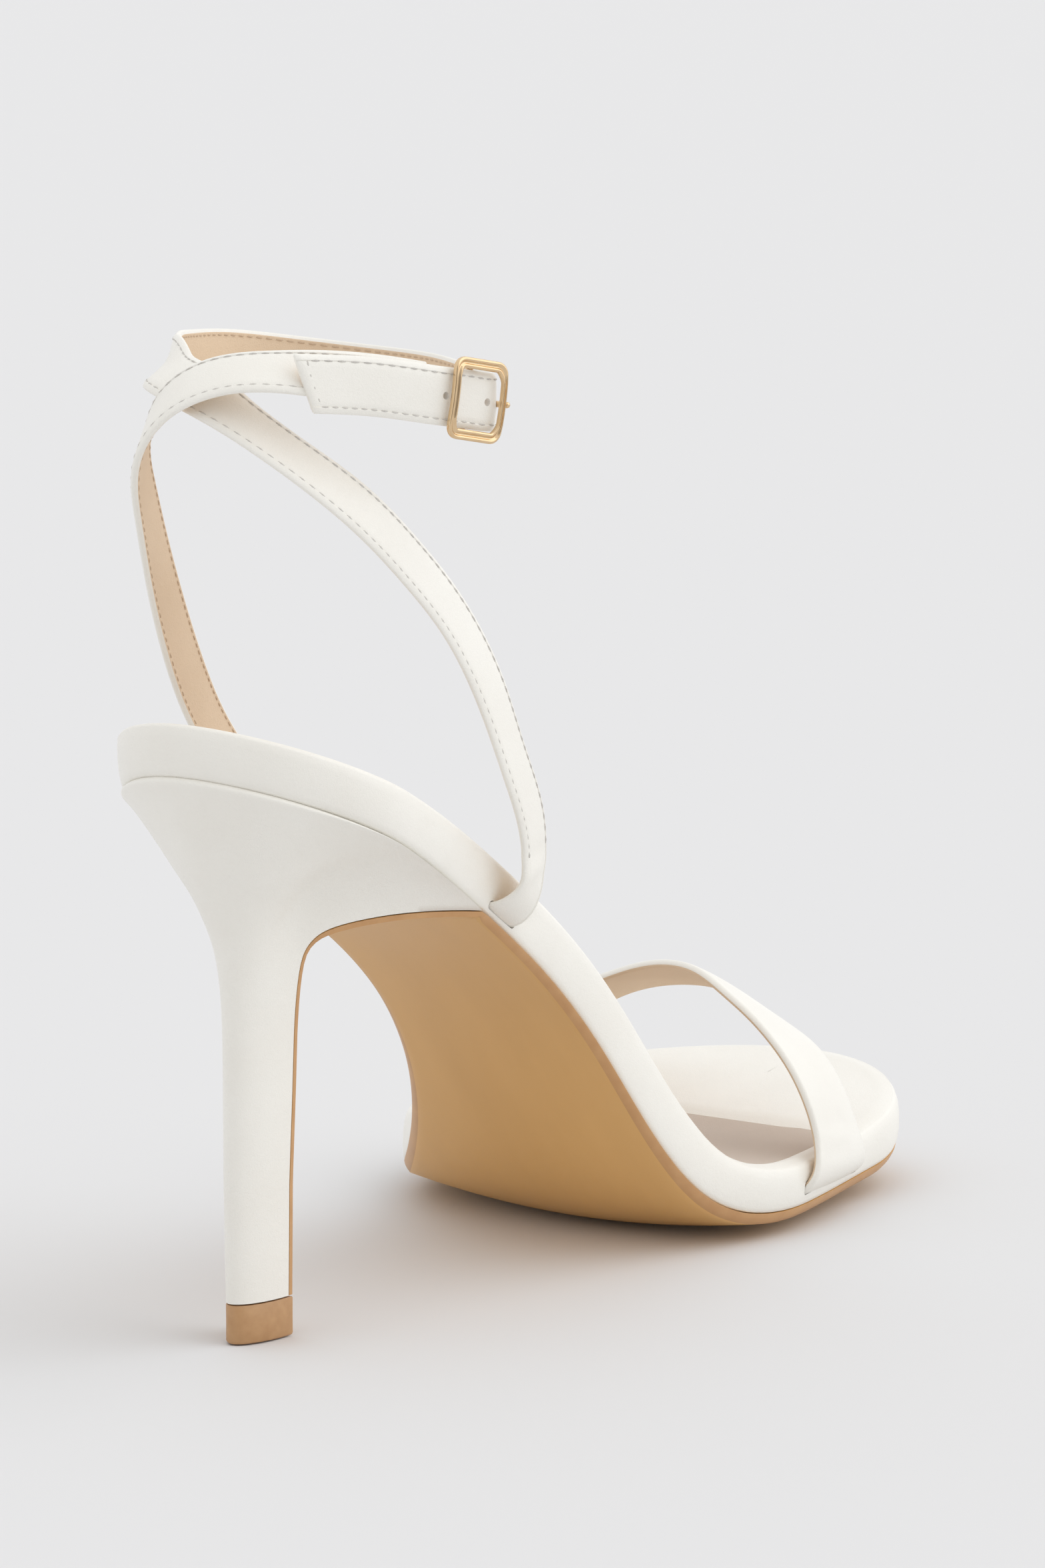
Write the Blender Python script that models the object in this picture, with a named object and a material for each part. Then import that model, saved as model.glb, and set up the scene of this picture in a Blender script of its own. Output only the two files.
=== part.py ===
"""A right-foot stiletto sandal: padded footbed, covered heel, toe strap, crossed ankle straps and buckle.

+X runs to the toe, +Y to the inner (medial) side and +Z up. The origin is on the floor under the heel.
Every length in the tables is in millimetres and MM turns it into metres.
"""

import math

import bmesh
import bpy
import numpy as np

MM = 0.001
GAP = 0.3
WELD = 2e-6
SEAM = 0.25

# Driving sizes of the last
SOLE_BACK = -22.4
SOLE_TOE = 178.7
HEEL_END_LENGTH = 27.6
HEEL_END_POWER = 1.9
TOE_END_LENGTH = 29.0
ARCH_TWIST = 0.049

# Thicknesses
OUTSOLE_EDGE = 1.8
OUTSOLE_CROWN = 3.1
UNDER_INSET = 1.2
BREAST_SHEET = 0.8
STRAP_THICKNESS = 1.6
STRAP_WIDTH = 9.0
TOE_STRAP_THICKNESS = 1.4
TOP_PIECE_HEIGHT = 6.15
TOP_PIECE_FRONT = 5.5

# Sock: its inset from the footbed's outline, the depth of its bed, and its front line
SOCK_INSET = 3.6
SOCK_DEPTH = 1.4
SOCK_GAP = 0.45
SOCK_THICKNESS = 0.7
SOCK_FRONT = 139.5

# Height of the plane where footbed meets outsole and heel, along the centre line
PROFILE = """
x       z
-25.0   92.0
-5.0    83.3
15.0    73.9
35.0    63.1
52.0    52.0
66.0    39.0
79.0    23.6
92.0    11.4
106.0   5.6
125.0   4.7
150.0   5.5
180.0   10.3
"""

# Outline of that plane: its centre line and its half width
OUTLINE = """
x       centre  half
-25.0   -1.5    23.6
0.0     -2.9    23.4
25.0    -2.9    20.7
50.0    -2.6    19.7
75.0    -2.2    22.1
95.0    2.8     30.5
115.0   7.5     38.6
135.0   11.2    40.1
155.0   10.4    37.4
180.0   3.0     33.3
"""

# Thickness of the footbed on the outer and on the inner side of the foot
PADDING = """
x       outer   inner
-25.0   8.4     8.4
20.0    8.6     8.6
60.0    8.8     8.8
85.0    8.7     8.8
105.0   7.8     9.0
120.0   7.2     9.2
134.0   6.9     9.2
155.0   8.4     9.2
180.0   9.2     9.2
"""

# The heel's stem: front and back of each level, its half width and its centre
STEM = """
z       front   back    half    centre
6.45    4.4     -5.7    3.9     0.0
25.0    3.1     -7.1    4.2     -0.8
44.0    2.3     -8.1    4.7     -1.7
60.0    1.9     -8.6    5.0     -2.1
"""
FLARE_FOOT = 48.0

# How the stem opens into the cup: how far each level has risen towards the seat and moved out to it,
# at the edge of the heel's front face and round its back
FLARE = """
edge_rise   edge_out    back_rise   back_out
0.0         0.0         0.0         0.0
0.28        0.01        0.12        0.01
0.55        0.03        0.24        0.04
0.75        0.065       0.35        0.10
0.88        0.13        0.45        0.20
0.96        0.22        0.55        0.33
1.01        0.35        0.64        0.48
1.04        0.50        0.73        0.62
1.05        0.65        0.82        0.76
1.04        0.80        0.90        0.88
1.02        0.92        0.955       0.965
1.005       0.98        0.985       1.0
1.0         1.0         1.0         0.955
"""
HEEL_CORNER_OUTER = 30.7
HEEL_CORNER_INNER = 29.2

# Ankle strap that starts on the outer side, crosses inside at the back and closes through the buckle.
# nx, ny and nz give the direction its outer side faces.
OUTER_STRAP = """
x       y       z       nx      ny      nz
36.6    -13.0   63.9    -0.48   0.0     -0.88
36.6    -18.3   63.8    -0.48   -0.05   -0.88
37.2    -23.7   64.0    -0.30   -0.72   -0.63
38.6    -26.3   67.0    0.10    -0.99   -0.15
38.9    -27.4   72.0    0.20    -0.98   -0.05
36.6    -28.4   79.0    0.19    -0.98   0.0
30.9    -28.9   88.9    0.18    -0.98   0.09
24.4    -28.4   101.2   0.15    -0.97   0.18
17.3    -26.6   112.6   0.17    -0.95   0.26
7.8     -24.8   122.2   0.13    -0.93   0.33
-3.0    -21.8   131.7   0.08    -0.90   0.42
-11.0   -15.7   139.4   -0.08   -0.88   0.47
-15.6   -8.4    145.6   -0.35   -0.69   0.63
-16.6   -1.4    149.7   -0.66   -0.10   0.74
-12.6   5.2     152.0   -0.54   0.24    0.81
-6.4    11.0    152.7   -0.49   0.76    0.42
2.4     16.4    152.1   -0.32   0.90    0.28
14.0    20.3    151.0   -0.11   0.99    0.03
27.8    22.0    150.1   0.15    0.99    0.0
40.0    16.1    148.3   0.75    0.66    0.0
44.6    3.9     147.0   1.0     0.0     0.0
39.7    -8.5    146.7   0.89    -0.45   0.0
32.9    -17.5   146.4   0.8     -0.6    0.0
25.5    -25.9   146.2   0.72    -0.69   0.0
21.3    -30.1   146.2   0.68    -0.73   0.0
19.2    -32.0   146.2   0.6     -0.8    0.0
18.1    -32.9   146.2   0.35    -0.94   0.0
17.1    -33.3   146.3   0.05    -1.0    0.0
16.0    -33.2   146.4   -0.2    -0.98   0.0
13.0    -32.4   146.9   -0.25   -0.97   0.0
8.0     -31.0   147.7   -0.30   -0.95   0.0
-4.0    -25.4   149.8   -0.42   -0.90   0.08
-13.7   -18.8   150.6   -0.50   -0.83   0.20
"""

# Ankle strap that starts on the inner side, crosses outside at the back and carries the buckle
INNER_STRAP = """
x       y       z       nx      ny      nz
36.6    6.0     64.2    -0.48   0.0     -0.88
36.6    12.0    64.5    -0.48   0.05    -0.88
37.0    17.4    65.4    -0.35   0.71    -0.61
37.8    19.6    68.2    -0.10   0.99    -0.1
37.8    21.6    73.0    -0.04   1.0     -0.05
35.6    23.8    79.0    -0.05   1.0     -0.05
27.7    24.2    88.1    -0.10   0.99    -0.05
18.3    22.0    96.3    -0.08   1.0     0.05
7.7     18.6    107.0   -0.10   0.99    0.11
-3.3    14.5    120.0   -0.20   0.97    0.11
-14.0   9.5     132.1   -0.37   0.92    0.15
-20.2   5.2     141.0   -0.50   0.82    0.30
-20.8   0.6     147.3   -0.64   0.27    0.72
-18.3   -5.8    151.2   -0.50   -0.27   0.82
-12.6   -15.0   152.2   -0.28   -0.62   0.73
-3.8    -22.4   150.9   -0.33   -0.80   0.48
6.0     -28.0   148.6   -0.40   -0.90   0.15
"""

# Toe strap: its back edge and its front edge, from the outer side of the foot over to the inner side
TOE_STRAP = """
xb      yb      zb      xf      yf      zf
116.5   -23.5   6.0     139.5   -20.5   6.1
116.8   -30.0   6.1     140.0   -26.8   6.3
117.6   -33.0   9.0     139.4   -30.0   8.4
119.6   -32.5   14.5    138.2   -29.6   13.8
119.8   -30.3   21.3    137.2   -27.4   20.4
119.9   -26.6   27.5    137.7   -23.6   25.4
121.1   -19.9   33.6    139.3   -18.0   28.6
123.7   -12.0   37.8    141.2   -10.2   31.6
127.5   -3.7    40.5    144.5   -1.5    34.1
132.2   7.6     39.9    149.0   8.3     34.2
136.1   20.4    35.7    153.1   20.2    32.1
138.4   33.0    30.3    155.9   31.7    27.4
139.7   44.0    23.2    157.5   41.2    20.6
140.3   50.9    15.4    158.2   46.8    14.6
140.3   52.6    9.8     158.0   48.0    10.2
140.0   50.4    6.6     157.6   45.4    7.7
139.8   44.4    6.2     157.2   39.6    7.4
"""

# Buckle
BUCKLE_AT = 12.8
BUCKLE_LENGTH = 10.8
BUCKLE_HEIGHT = 12.6
BUCKLE_WIRE = 0.75
BUCKLE_CORNER = 1.8
CENTRE_BAR_WIRE = 0.55
PRONG_WIRE = 0.5
TAB_WIDTH = 6.0
TAB_THICKNESS = 1.1

# The prong's bends and the spare holes, along and outward from the buckle's middle
PRONG_LINE = ((1.5, -1.9), (3.4, -1.95), (4.8, -1.55), (5.7, -0.75), (6.2, 0.2), (6.35, 1.3))
SPARE_HOLES = (2.9, -5.6)
HOLE_RADIUS = 0.65

# Points along one side of a section
HEEL_POINTS = 29
ACROSS = 11


def table(text):
    """The columns of a table written as text, as arrays by name."""
    rows = [line.split() for line in text.strip().splitlines()]
    values = np.array([[float(cell) for cell in row] for row in rows[1:]])
    return dict(zip(rows[0], values.T))


def spline(at, value):
    """A natural cubic through the values, straight past its ends; value may hold several columns."""
    at = np.asarray(at, float)
    value = np.asarray(value, float)
    step = np.diff(at)
    count = len(at)
    system = np.eye(count)
    right = np.zeros_like(value)
    slope = np.diff(value, axis=0) / (step if value.ndim == 1 else step[:, None])
    for i in range(1, count - 1):
        system[i, i - 1] = step[i - 1]
        system[i, i] = 2.0 * (step[i - 1] + step[i])
        system[i, i + 1] = step[i]
        right[i] = 6.0 * (slope[i] - slope[i - 1])
    bend = np.linalg.solve(system, right)

    def evaluate(where):
        where = np.asarray(where, float)
        inside = np.clip(where, at[0], at[-1])
        i = np.clip(np.searchsorted(at, inside, side="right") - 1, 0, count - 2)
        h = step[i]
        a = (at[i + 1] - inside) / h
        b = (inside - at[i]) / h
        over = where - inside
        if value.ndim == 2:
            a, b, h, over = a[..., None], b[..., None], h[..., None], over[..., None]
        curve = a * value[i] + b * value[i + 1]
        curve = curve + ((a**3 - a) * bend[i] + (b**3 - b) * bend[i + 1]) * h * h / 6.0
        end_slope = slope[i] + h * ((3 * b * b - 1) * bend[i + 1] - (3 * a * a - 1) * bend[i]) / 6.0
        return curve + over * end_slope

    return evaluate


def smooth(low, high, value):
    """0 below low, 1 above high and an even S between them."""
    t = np.clip((np.asarray(value, float) - low) / (high - low), 0.0, 1.0)
    return t * t * (3.0 - 2.0 * t)


profile_table = table(PROFILE)
outline_table = table(OUTLINE)
padding_table = table(PADDING)
stem_table = table(STEM)
flare_table = table(FLARE)
profile_height = spline(profile_table["x"], profile_table["z"])
outline_centre = spline(outline_table["x"], outline_table["centre"])
outline_half = spline(outline_table["x"], outline_table["half"])


def plane_height(x, y):
    """Height of the footbed's underside, which twists a little along the arch."""
    twist = ARCH_TWIST * smooth(10.0, 70.0, x) * (1.0 - smooth(85.0, 125.0, x))
    return profile_height(x) + twist * (y - outline_centre(x))


def end_rounding(x):
    """1 along the sole, falling to 0 in a rounded heel end and toe end."""
    heel = np.clip((x - SOLE_BACK) / HEEL_END_LENGTH, 0.0, 1.0)
    toe = np.clip((SOLE_TOE - x) / TOE_END_LENGTH, 0.0, 1.0)
    heel = np.maximum(1.0 - (1.0 - heel) ** HEEL_END_POWER, 0.0) ** (1.0 / HEEL_END_POWER)
    return heel * np.sqrt(np.maximum(1.0 - (1.0 - toe) ** 2, 0.0))


def outline_side(x, side):
    """The sole's edge at x: side is -1 on the outer side of the foot and 1 on the inner."""
    return outline_centre(x) + side * outline_half(x) * end_rounding(x)


def loft(name, rings, close_ends=True):
    """A closed solid through rings of as many points each, in millimetres, its ends filled flat."""
    rings = [np.asarray(ring, float) * MM for ring in rings]
    mesh = bmesh.new()
    rows = [[mesh.verts.new(point) for point in ring] for ring in rings]
    count = len(rows[0])
    for low, high in zip(rows, rows[1:]):
        for i in range(count):
            j = (i + 1) % count
            mesh.faces.new((low[i], low[j], high[j], high[i]))
    if close_ends:
        mesh.faces.new(list(reversed(rows[0])))
        mesh.faces.new(rows[-1])
    return mesh_object(name, mesh)


def mesh_object(name, mesh):
    """Links a finished bmesh as an object, welded and with its faces turned out."""
    bmesh.ops.remove_doubles(mesh, verts=mesh.verts, dist=WELD)
    bmesh.ops.dissolve_degenerate(mesh, edges=mesh.edges, dist=WELD)
    bmesh.ops.recalc_face_normals(mesh, faces=mesh.faces)
    data = bpy.data.meshes.new(name)
    mesh.to_mesh(data)
    mesh.free()
    made = bpy.data.objects.new(name, data)
    PARTS.objects.link(made)
    return made


def padding(x, y):
    """Thickness of the footbed, from one side of the foot to the other."""
    outer = np.interp(x, padding_table["x"], padding_table["outer"])
    inner = np.interp(x, padding_table["x"], padding_table["inner"])
    share = np.clip((y - outline_centre(x)) / outline_half(x), -1.0, 1.0) / 2.0 + 0.5
    return outer + (inner - outer) * share


def above_plane(x, y, height):
    """Points at a height over the sole's plane, upright at the seat and square to it from the arch on."""
    slope = (plane_height(x + 0.5, y) - plane_height(x - 0.5, y)) * smooth(-10.0, 50.0, x)
    square = np.hypot(slope, 1.0)
    return np.column_stack([x - height * slope / square, y, plane_height(x, y) + height / square])


def slab(name, stations, rings):
    """A plate that follows the sole's outline and plane.

    stations are the x of its cross lines, heel to toe. Each ring is an inset from the outline, a share of
    the footbed's thickness and a height added to it, from the underside round to the top.
    """
    outer = np.stack([stations, outline_side(stations, -1)], axis=1)
    inner = np.stack([stations, outline_side(stations, 1)], axis=1)
    loop = np.vstack([outer, inner[-2:0:-1]])
    along = np.roll(loop, -1, axis=0) - np.roll(loop, 1, axis=0)
    along /= np.linalg.norm(along, axis=1)[:, None]
    inward = np.stack([-along[:, 1], along[:, 0]], axis=1)
    mesh = bmesh.new()
    rows = []
    for inset, share, height in rings:
        plan = loop + inward * inset
        lift = share * padding(plan[:, 0], plan[:, 1]) + height
        ring = above_plane(plan[:, 0], plan[:, 1], lift) * MM
        rows.append([mesh.verts.new(point) for point in ring])
    count = len(loop)
    for low, high in zip(rows, rows[1:]):
        for i in range(count):
            j = (i + 1) % count
            mesh.faces.new((low[i], low[j], high[j], high[i]))
    last = len(stations) - 1
    for row in (rows[0], rows[-1]):
        for i in range(last):
            cross = [row[i], row[i + 1], row[(count - i - 1) % count], row[(count - i) % count]]
            mesh.faces.new(list(dict.fromkeys(cross)))
    return mesh_object(name, mesh)


def sole_stations(first, last, count):
    """Cross lines that crowd together towards the rounded ends."""
    angle = np.linspace(0.0, math.pi, count)
    return first + (last - first) * (1.0 - np.cos(angle)) / 2.0


def boolean(target, tool, operation):
    """Applies an exact Boolean and removes the tool."""
    modifier = target.modifiers.new(operation.lower(), "BOOLEAN")
    modifier.operation = operation
    modifier.solver = "EXACT"
    modifier.object = tool
    graph = bpy.context.evaluated_depsgraph_get()
    data = bpy.data.meshes.new_from_object(target.evaluated_get(graph))
    target.modifiers.remove(modifier)
    target.data = data
    bpy.data.objects.remove(tool)
    return target


def drop_flakes(target):
    """Welds a cut solid and removes flat flakes: two faces on the same corners, back to back."""
    mesh = bmesh.new()
    mesh.from_mesh(target.data)
    bmesh.ops.remove_doubles(mesh, verts=mesh.verts, dist=WELD)
    bmesh.ops.dissolve_degenerate(mesh, edges=mesh.edges, dist=WELD)
    bmesh.ops.triangulate(mesh, faces=[face for face in mesh.faces if len(face.verts) > 4])
    by_corners = {}
    for face in mesh.faces:
        by_corners.setdefault(frozenset(vertex.index for vertex in face.verts), []).append(face)
    flakes = [face for faces in by_corners.values() if len(faces) > 1 for face in faces]
    bmesh.ops.delete(mesh, geom=flakes, context="FACES")
    mesh.to_mesh(target.data)
    mesh.free()


def stem_level(z, angle):
    """Plan points of the heel's stem at a height: flat in front and round at the back."""
    level = {name: np.interp(z, stem_table["z"], stem_table[name]) for name in stem_table}
    x = level["front"] - (level["front"] - level["back"]) * np.sin(angle)
    return x, level["centre"] - level["half"] * np.cos(angle)


def heel_shell():
    """Levels of the heel from the top piece to the seat, each from its outer front corner round the back."""
    angle = np.linspace(0.0, math.pi, HEEL_POINTS)
    rings = []
    for z in (TOP_PIECE_HEIGHT + GAP, 20.0, 35.0):
        x, y = stem_level(z, angle)
        rings.append(np.column_stack([x, y, np.full(HEEL_POINTS, z)]))
    corner = np.where(angle < math.pi / 2, HEEL_CORNER_OUTER, HEEL_CORNER_INNER)
    seat_x = corner + (SOLE_BACK - corner) * np.sin(angle)
    seat_y = np.where(angle < math.pi / 2, outline_side(seat_x, -1), outline_side(seat_x, 1))
    seat_z = plane_height(seat_x, seat_y) - SEAM
    near_edge = np.abs(np.cos(angle)) ** 4
    for edge_rise, edge_out, back_rise, back_out in zip(*flare_table.values()):
        rise = back_rise + (edge_rise - back_rise) * near_edge
        out = back_out + (edge_out - back_out) * near_edge
        z = FLARE_FOOT + rise * (seat_z - FLARE_FOOT)
        stem = np.array([stem_level(height, turn) for height, turn in zip(z, angle)])
        x = stem[:, 0] + out ** (1.0 + 0.3 * near_edge) * (seat_x - stem[:, 0])
        y = stem[:, 1] + out * (seat_y - stem[:, 1])
        rings.append(np.column_stack([x, y, z]))
    return rings


def across_line(start, end, count):
    """Even points from start to end."""
    t = np.linspace(0.0, 1.0, count)[:, None]
    return start * (1.0 - t) + end * t


def add_heel():
    """Covered heel: a slim stem that opens into a cup under the seat, its front face straight across."""
    mesh = bmesh.new()
    rows = []
    for ring in heel_shell():
        front = across_line(ring[-1], ring[0], ACROSS)[1:-1]
        rows.append([mesh.verts.new(point * MM) for point in np.vstack([ring, front])])
    count = len(rows[0])
    for low, high in zip(rows, rows[1:]):
        for i in range(count):
            j = (i + 1) % count
            mesh.faces.new((low[i], low[j], high[j], high[i]))
    mesh.faces.new(list(reversed(rows[0])))
    top = rows[-1]
    last = HEEL_POINTS - 1
    mesh.faces.new([top[0], top[1], top[last - 1]] + top[last:])
    for i in range(1, last // 2):
        mesh.faces.new(list(dict.fromkeys((top[i], top[i + 1], top[last - i - 1], top[last - i]))))
    return mesh_object("heel", mesh)


def add_outsole():
    """Thin sole from the toe back to the arch, which then runs down the front of the heel."""
    reach = SOLE_TOE - 32.6
    stations = SOLE_TOE - reach * np.linspace(0.004, 1.0, 33) ** 1.3
    across = np.linspace(-1.0, 1.0, ACROSS)
    rings = []
    for x in stations:
        centre = outline_centre(x)
        half = outline_half(x) * end_rounding(x)
        under = max(half - UNDER_INSET, half * 0.6)
        edge = BREAST_SHEET + 0.3 + (OUTSOLE_EDGE - BREAST_SHEET - 0.3) * smooth(35.0, 100.0, x)
        crown = OUTSOLE_CROWN * smooth(45.0, 95.0, x) * end_rounding(x)
        top_y = centre + across * half
        top = np.column_stack([np.full(ACROSS, x), top_y, plane_height(x, top_y) - SEAM])
        low_y = centre + across[::-1] * under
        low_z = plane_height(x, low_y) - SEAM - edge - crown * (1.0 - across[::-1] ** 2)
        bottom = np.column_stack([np.full(ACROSS, x), low_y, np.maximum(low_z, 0.0)])
        rings.append(np.vstack([top, bottom]))
    return loft("outsole", rings + heel_cover_rings())


def heel_cover_rings():
    """The end of the outsole: lines across the heel's front face, from its corner down to the top piece."""
    shell = heel_shell()[::-1]
    lines = [across_line(shell[0][0], shell[0][-1], ACROSS)]
    for ring in shell[1:]:
        if np.linalg.norm(ring[0] - lines[-1][0]) > 0.6:
            lines.append(across_line(ring[0], ring[-1], ACROSS))
    ahead = lines[0] + np.array([3.0, 0.0, plane_height(33.7, 0.0) - plane_height(30.7, 0.0)])
    rings = []
    for k, line in enumerate(lines):
        before = lines[k - 1] if k else ahead
        after = lines[min(k + 1, len(lines) - 1)]
        run = (after - line) / np.linalg.norm(after - line, axis=1).clip(1e-9)[:, None]
        run = run + (line - before) / np.linalg.norm(line - before, axis=1)[:, None]
        sideways = np.broadcast_to(line[-1] - line[0], run.shape)
        normal = np.cross(run, sideways)
        normal /= np.linalg.norm(normal, axis=1)[:, None]
        if k == len(lines) - 1:
            normal = np.broadcast_to([1.0, 0.0, 0.0], run.shape)
        close = line + normal * GAP * 1.05
        far = line + normal * (GAP + BREAST_SHEET)
        shrink = (far - far.mean(axis=0)) * 0.985 + far.mean(axis=0)
        rings.append(np.vstack([close, shrink[::-1]]))
    return rings


def add_top_piece():
    """The wearing piece under the stem, flat on the floor."""
    angle = np.linspace(0.0, math.pi, 25)
    x, y = stem_level(TOP_PIECE_HEIGHT, angle)
    front = TOP_PIECE_FRONT
    plan = np.vstack([[front, y[0]], np.column_stack([x, y]), [front, y[-1]]])
    middle = plan.mean(axis=0)
    radius = np.linalg.norm(plan - middle, axis=1)[:, None]
    rings = []
    for z, shrink in ((0.0, 0.25), (0.35, 0.0), (TOP_PIECE_HEIGHT, 0.0)):
        points = middle + (plan - middle) * (radius - shrink) / radius
        rings.append(np.column_stack([points, np.full(len(points), z)]))
    return loft("top_piece", rings)


def add_footbed():
    """Padded board wrapped in the upper's material, with a round edge and a shallow bed for the sock."""
    stations = sole_stations(SOLE_BACK + 0.02, SOLE_TOE - 0.02, 42)
    rings = [
        (6.0, 0.0, SEAM),
        (1.6, 0.0, SEAM),
        (0.4, 0.0, 0.7),
        (-0.3, 0.0, 1.9),
        (-0.6, 0.3, 1.4),
        (-0.6, 0.7, 0.0),
        (-0.3, 1.0, -1.2),
        (0.4, 1.0, -0.35),
        (1.5, 1.0, 0.0),
        (3.0, 1.0, 0.0),
        (8.0, 1.0, 0.0),
    ]
    footbed = slab("footbed", stations, rings)
    bed = slab("sock_bed", stations, [(SOCK_INSET - GAP, 1.0, -SOCK_DEPTH), (SOCK_INSET - GAP, 1.0, 3.0)])
    return boolean(footbed, cut_ahead(bed, SOCK_FRONT + GAP), "DIFFERENCE")


def add_insole():
    """Thin sock on the footbed, from the seat to just behind the toes."""
    stations = sole_stations(SOLE_BACK + 0.02, SOLE_TOE - 0.02, 42)
    low = SOCK_GAP - SOCK_DEPTH
    high = low + SOCK_THICKNESS
    rings = [(12.0, 1.0, low), (SOCK_INSET, 1.0, low), (SOCK_INSET, 1.0, high), (12.0, 1.0, high)]
    return cut_ahead(slab("insole", stations, rings), SOCK_FRONT)


def cut_ahead(plate, front):
    """Keeps the part of a plate behind a slightly slanted line across the foot."""
    box = [(front - 5.0, -60.0), (front + 4.0, 80.0), (-60.0, 80.0), (-60.0, -60.0)]
    rings = [[(x, y, z) for x, y in box] for z in (-20.0, 140.0)]
    return boolean(plate, loft("sock_front", rings), "INTERSECT")


def ribbon_section(width, thickness, points_per_edge=3):
    """Cross-section of a strap with folded, rounded edges, as (across, outward) pairs."""
    radius = thickness / 2 * 0.92
    section = []
    for side in (1, -1):
        for k in range(points_per_edge + 2):
            turn = math.pi * k / (points_per_edge + 1)
            across = side * (width / 2 - radius + radius * math.sin(turn))
            outward = side * math.cos(turn) * thickness / 2
            section.append((across, outward))
    return np.array(section)


def strap_route(text):
    """The strap's centre line and the direction its outer side faces, as functions of its length."""
    rows = table(text)
    points = np.column_stack([rows["x"], rows["y"], rows["z"]])
    face = np.column_stack([rows["nx"], rows["ny"], rows["nz"]])
    along = np.concatenate([[0.0], np.cumsum(np.linalg.norm(np.diff(points, axis=0), axis=1))])
    return along, spline(along, points), spline(along, face)


def strap_frame(route, face, at):
    """Point, direction along, outward normal and direction across at a length of the strap."""
    point = route(at)
    along = route(at + 0.1) - route(at - 0.1)
    along /= np.linalg.norm(along)
    outward = face(at)
    outward = outward - along * outward.dot(along)
    outward /= np.linalg.norm(outward)
    return point, along, outward, np.cross(along, outward)


def row_lengths(total, end, clearance):
    """Lengths at which a strap gets a ring: its rows and even steps between them."""
    lengths = [0.0]
    for a, b in zip(total, total[1:]):
        steps = math.ceil((b - a) / 3.3)
        lengths += [a + (b - a) * k / steps for k in range(1, steps + 1)]
    lengths = [at for at in lengths if at <= end + 1e-9]
    if clearance:
        lengths[0] -= 2.0 * clearance
    return lengths


def strap_rings(text, end, clearance):
    """Rings of a strap from its foot up to a length."""
    total, route, face = strap_route(text)
    section = ribbon_section(STRAP_WIDTH + 2 * clearance, STRAP_THICKNESS + 2 * clearance)
    rings = []
    for at in row_lengths(total, total[-1] if end is None else end, clearance):
        point, along, outward, across = strap_frame(route, face, at)
        rings.append(point + section[:, :1] * across + section[:, 1:] * outward)
    return rings


def add_strap(name, text, tip=None, clearance=0.0, end=None):
    """A strap swept along its route. tip cuts its last ring to a slanted end."""
    total, route, face = strap_route(text)
    rings = strap_rings(text, end, clearance)
    if tip:
        point, along, outward, across = strap_frame(route, face, total[-1])
        offset = (rings[-1] - point) @ across
        rings[-1] = rings[-1] + np.outer((offset / STRAP_WIDTH) * tip, along)
    return loft(name, rings)


def add_ankle_straps():
    """Both ankle straps as one solid, joined where they cross behind the ankle."""
    upper = add_strap("ankle_straps", OUTER_STRAP, tip=7.0)
    inner = add_strap("inner_strap", INNER_STRAP)
    upper = boolean(upper, inner, "UNION")
    tab = add_buckle_tab()
    return boolean(upper, tab, "UNION")


def buckle_frame():
    """Centre, direction along, outward and across for the buckle, on the closing strap's line."""
    total, route, face = strap_route(OUTER_STRAP)
    lengths = np.linspace(total[-6], total[-1], 400)
    at = lengths[np.argmin(np.abs(route(lengths)[:, 0] - BUCKLE_AT))]
    point, along, outward, across = strap_frame(route, face, at)
    return point, -along, outward, across


def add_buckle_tab():
    """Narrow end of the inner strap, folded round the buckle's middle bar."""
    total, route, face = strap_route(INNER_STRAP)
    start, along, outward, across = strap_frame(route, face, total[-1] - 3.0)
    centre, forward, out, up = buckle_frame()
    bar = centre - out * bar_depth()
    wrap = CENTRE_BAR_WIRE + GAP + 0.6
    end = bar + forward * 0.2 - out * wrap
    rings = []
    for t in np.linspace(0.0, 1.0, 8):
        s = float(smooth(0.0, 1.0, t))
        point = start * (1 - t) + end * t - out * 0.5 * math.sin(math.pi * t)
        normal = outward * (1 - s) + out * s
        normal /= np.linalg.norm(normal)
        side = across * (1 - s) + up * math.copysign(1.0, up.dot(across)) * s
        side /= np.linalg.norm(side)
        wide = (STRAP_WIDTH - 0.8) * (1 - s) + TAB_WIDTH * s
        thick = STRAP_THICKNESS * (1 - s) + TAB_THICKNESS * s
        section = ribbon_section(wide, thick)
        rings.append(point + section[:, :1] * side + section[:, 1:] * normal)
    return loft("buckle_tab", rings)


def bar_depth():
    """How far the buckle's middle bar lies inside the closing strap's centre line."""
    return STRAP_THICKNESS / 2 + GAP + CENTRE_BAR_WIRE


def wire(name, points, radius, sides=10, closed=False):
    """A round wire along points in millimetres, as a curve with a bevel made into a mesh."""
    curve = bpy.data.curves.new(name, "CURVE")
    curve.dimensions = "3D"
    curve.bevel_depth = radius * MM
    curve.bevel_resolution = max(0, sides // 2 - 2) if sides > 4 else 0
    curve.use_fill_caps = not closed
    line = curve.splines.new("POLY")
    line.points.add(len(points) - 1)
    for vertex, point in zip(line.points, points):
        vertex.co = (*(np.asarray(point) * MM), 1.0)
    line.use_cyclic_u = closed
    source = bpy.data.objects.new(name, curve)
    PARTS.objects.link(source)
    graph = bpy.context.evaluated_depsgraph_get()
    data = bpy.data.meshes.new_from_object(source.evaluated_get(graph))
    bpy.data.objects.remove(source)
    mesh = bmesh.new()
    mesh.from_mesh(data)
    bpy.data.meshes.remove(data)
    return mesh_object(name, mesh)


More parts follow.
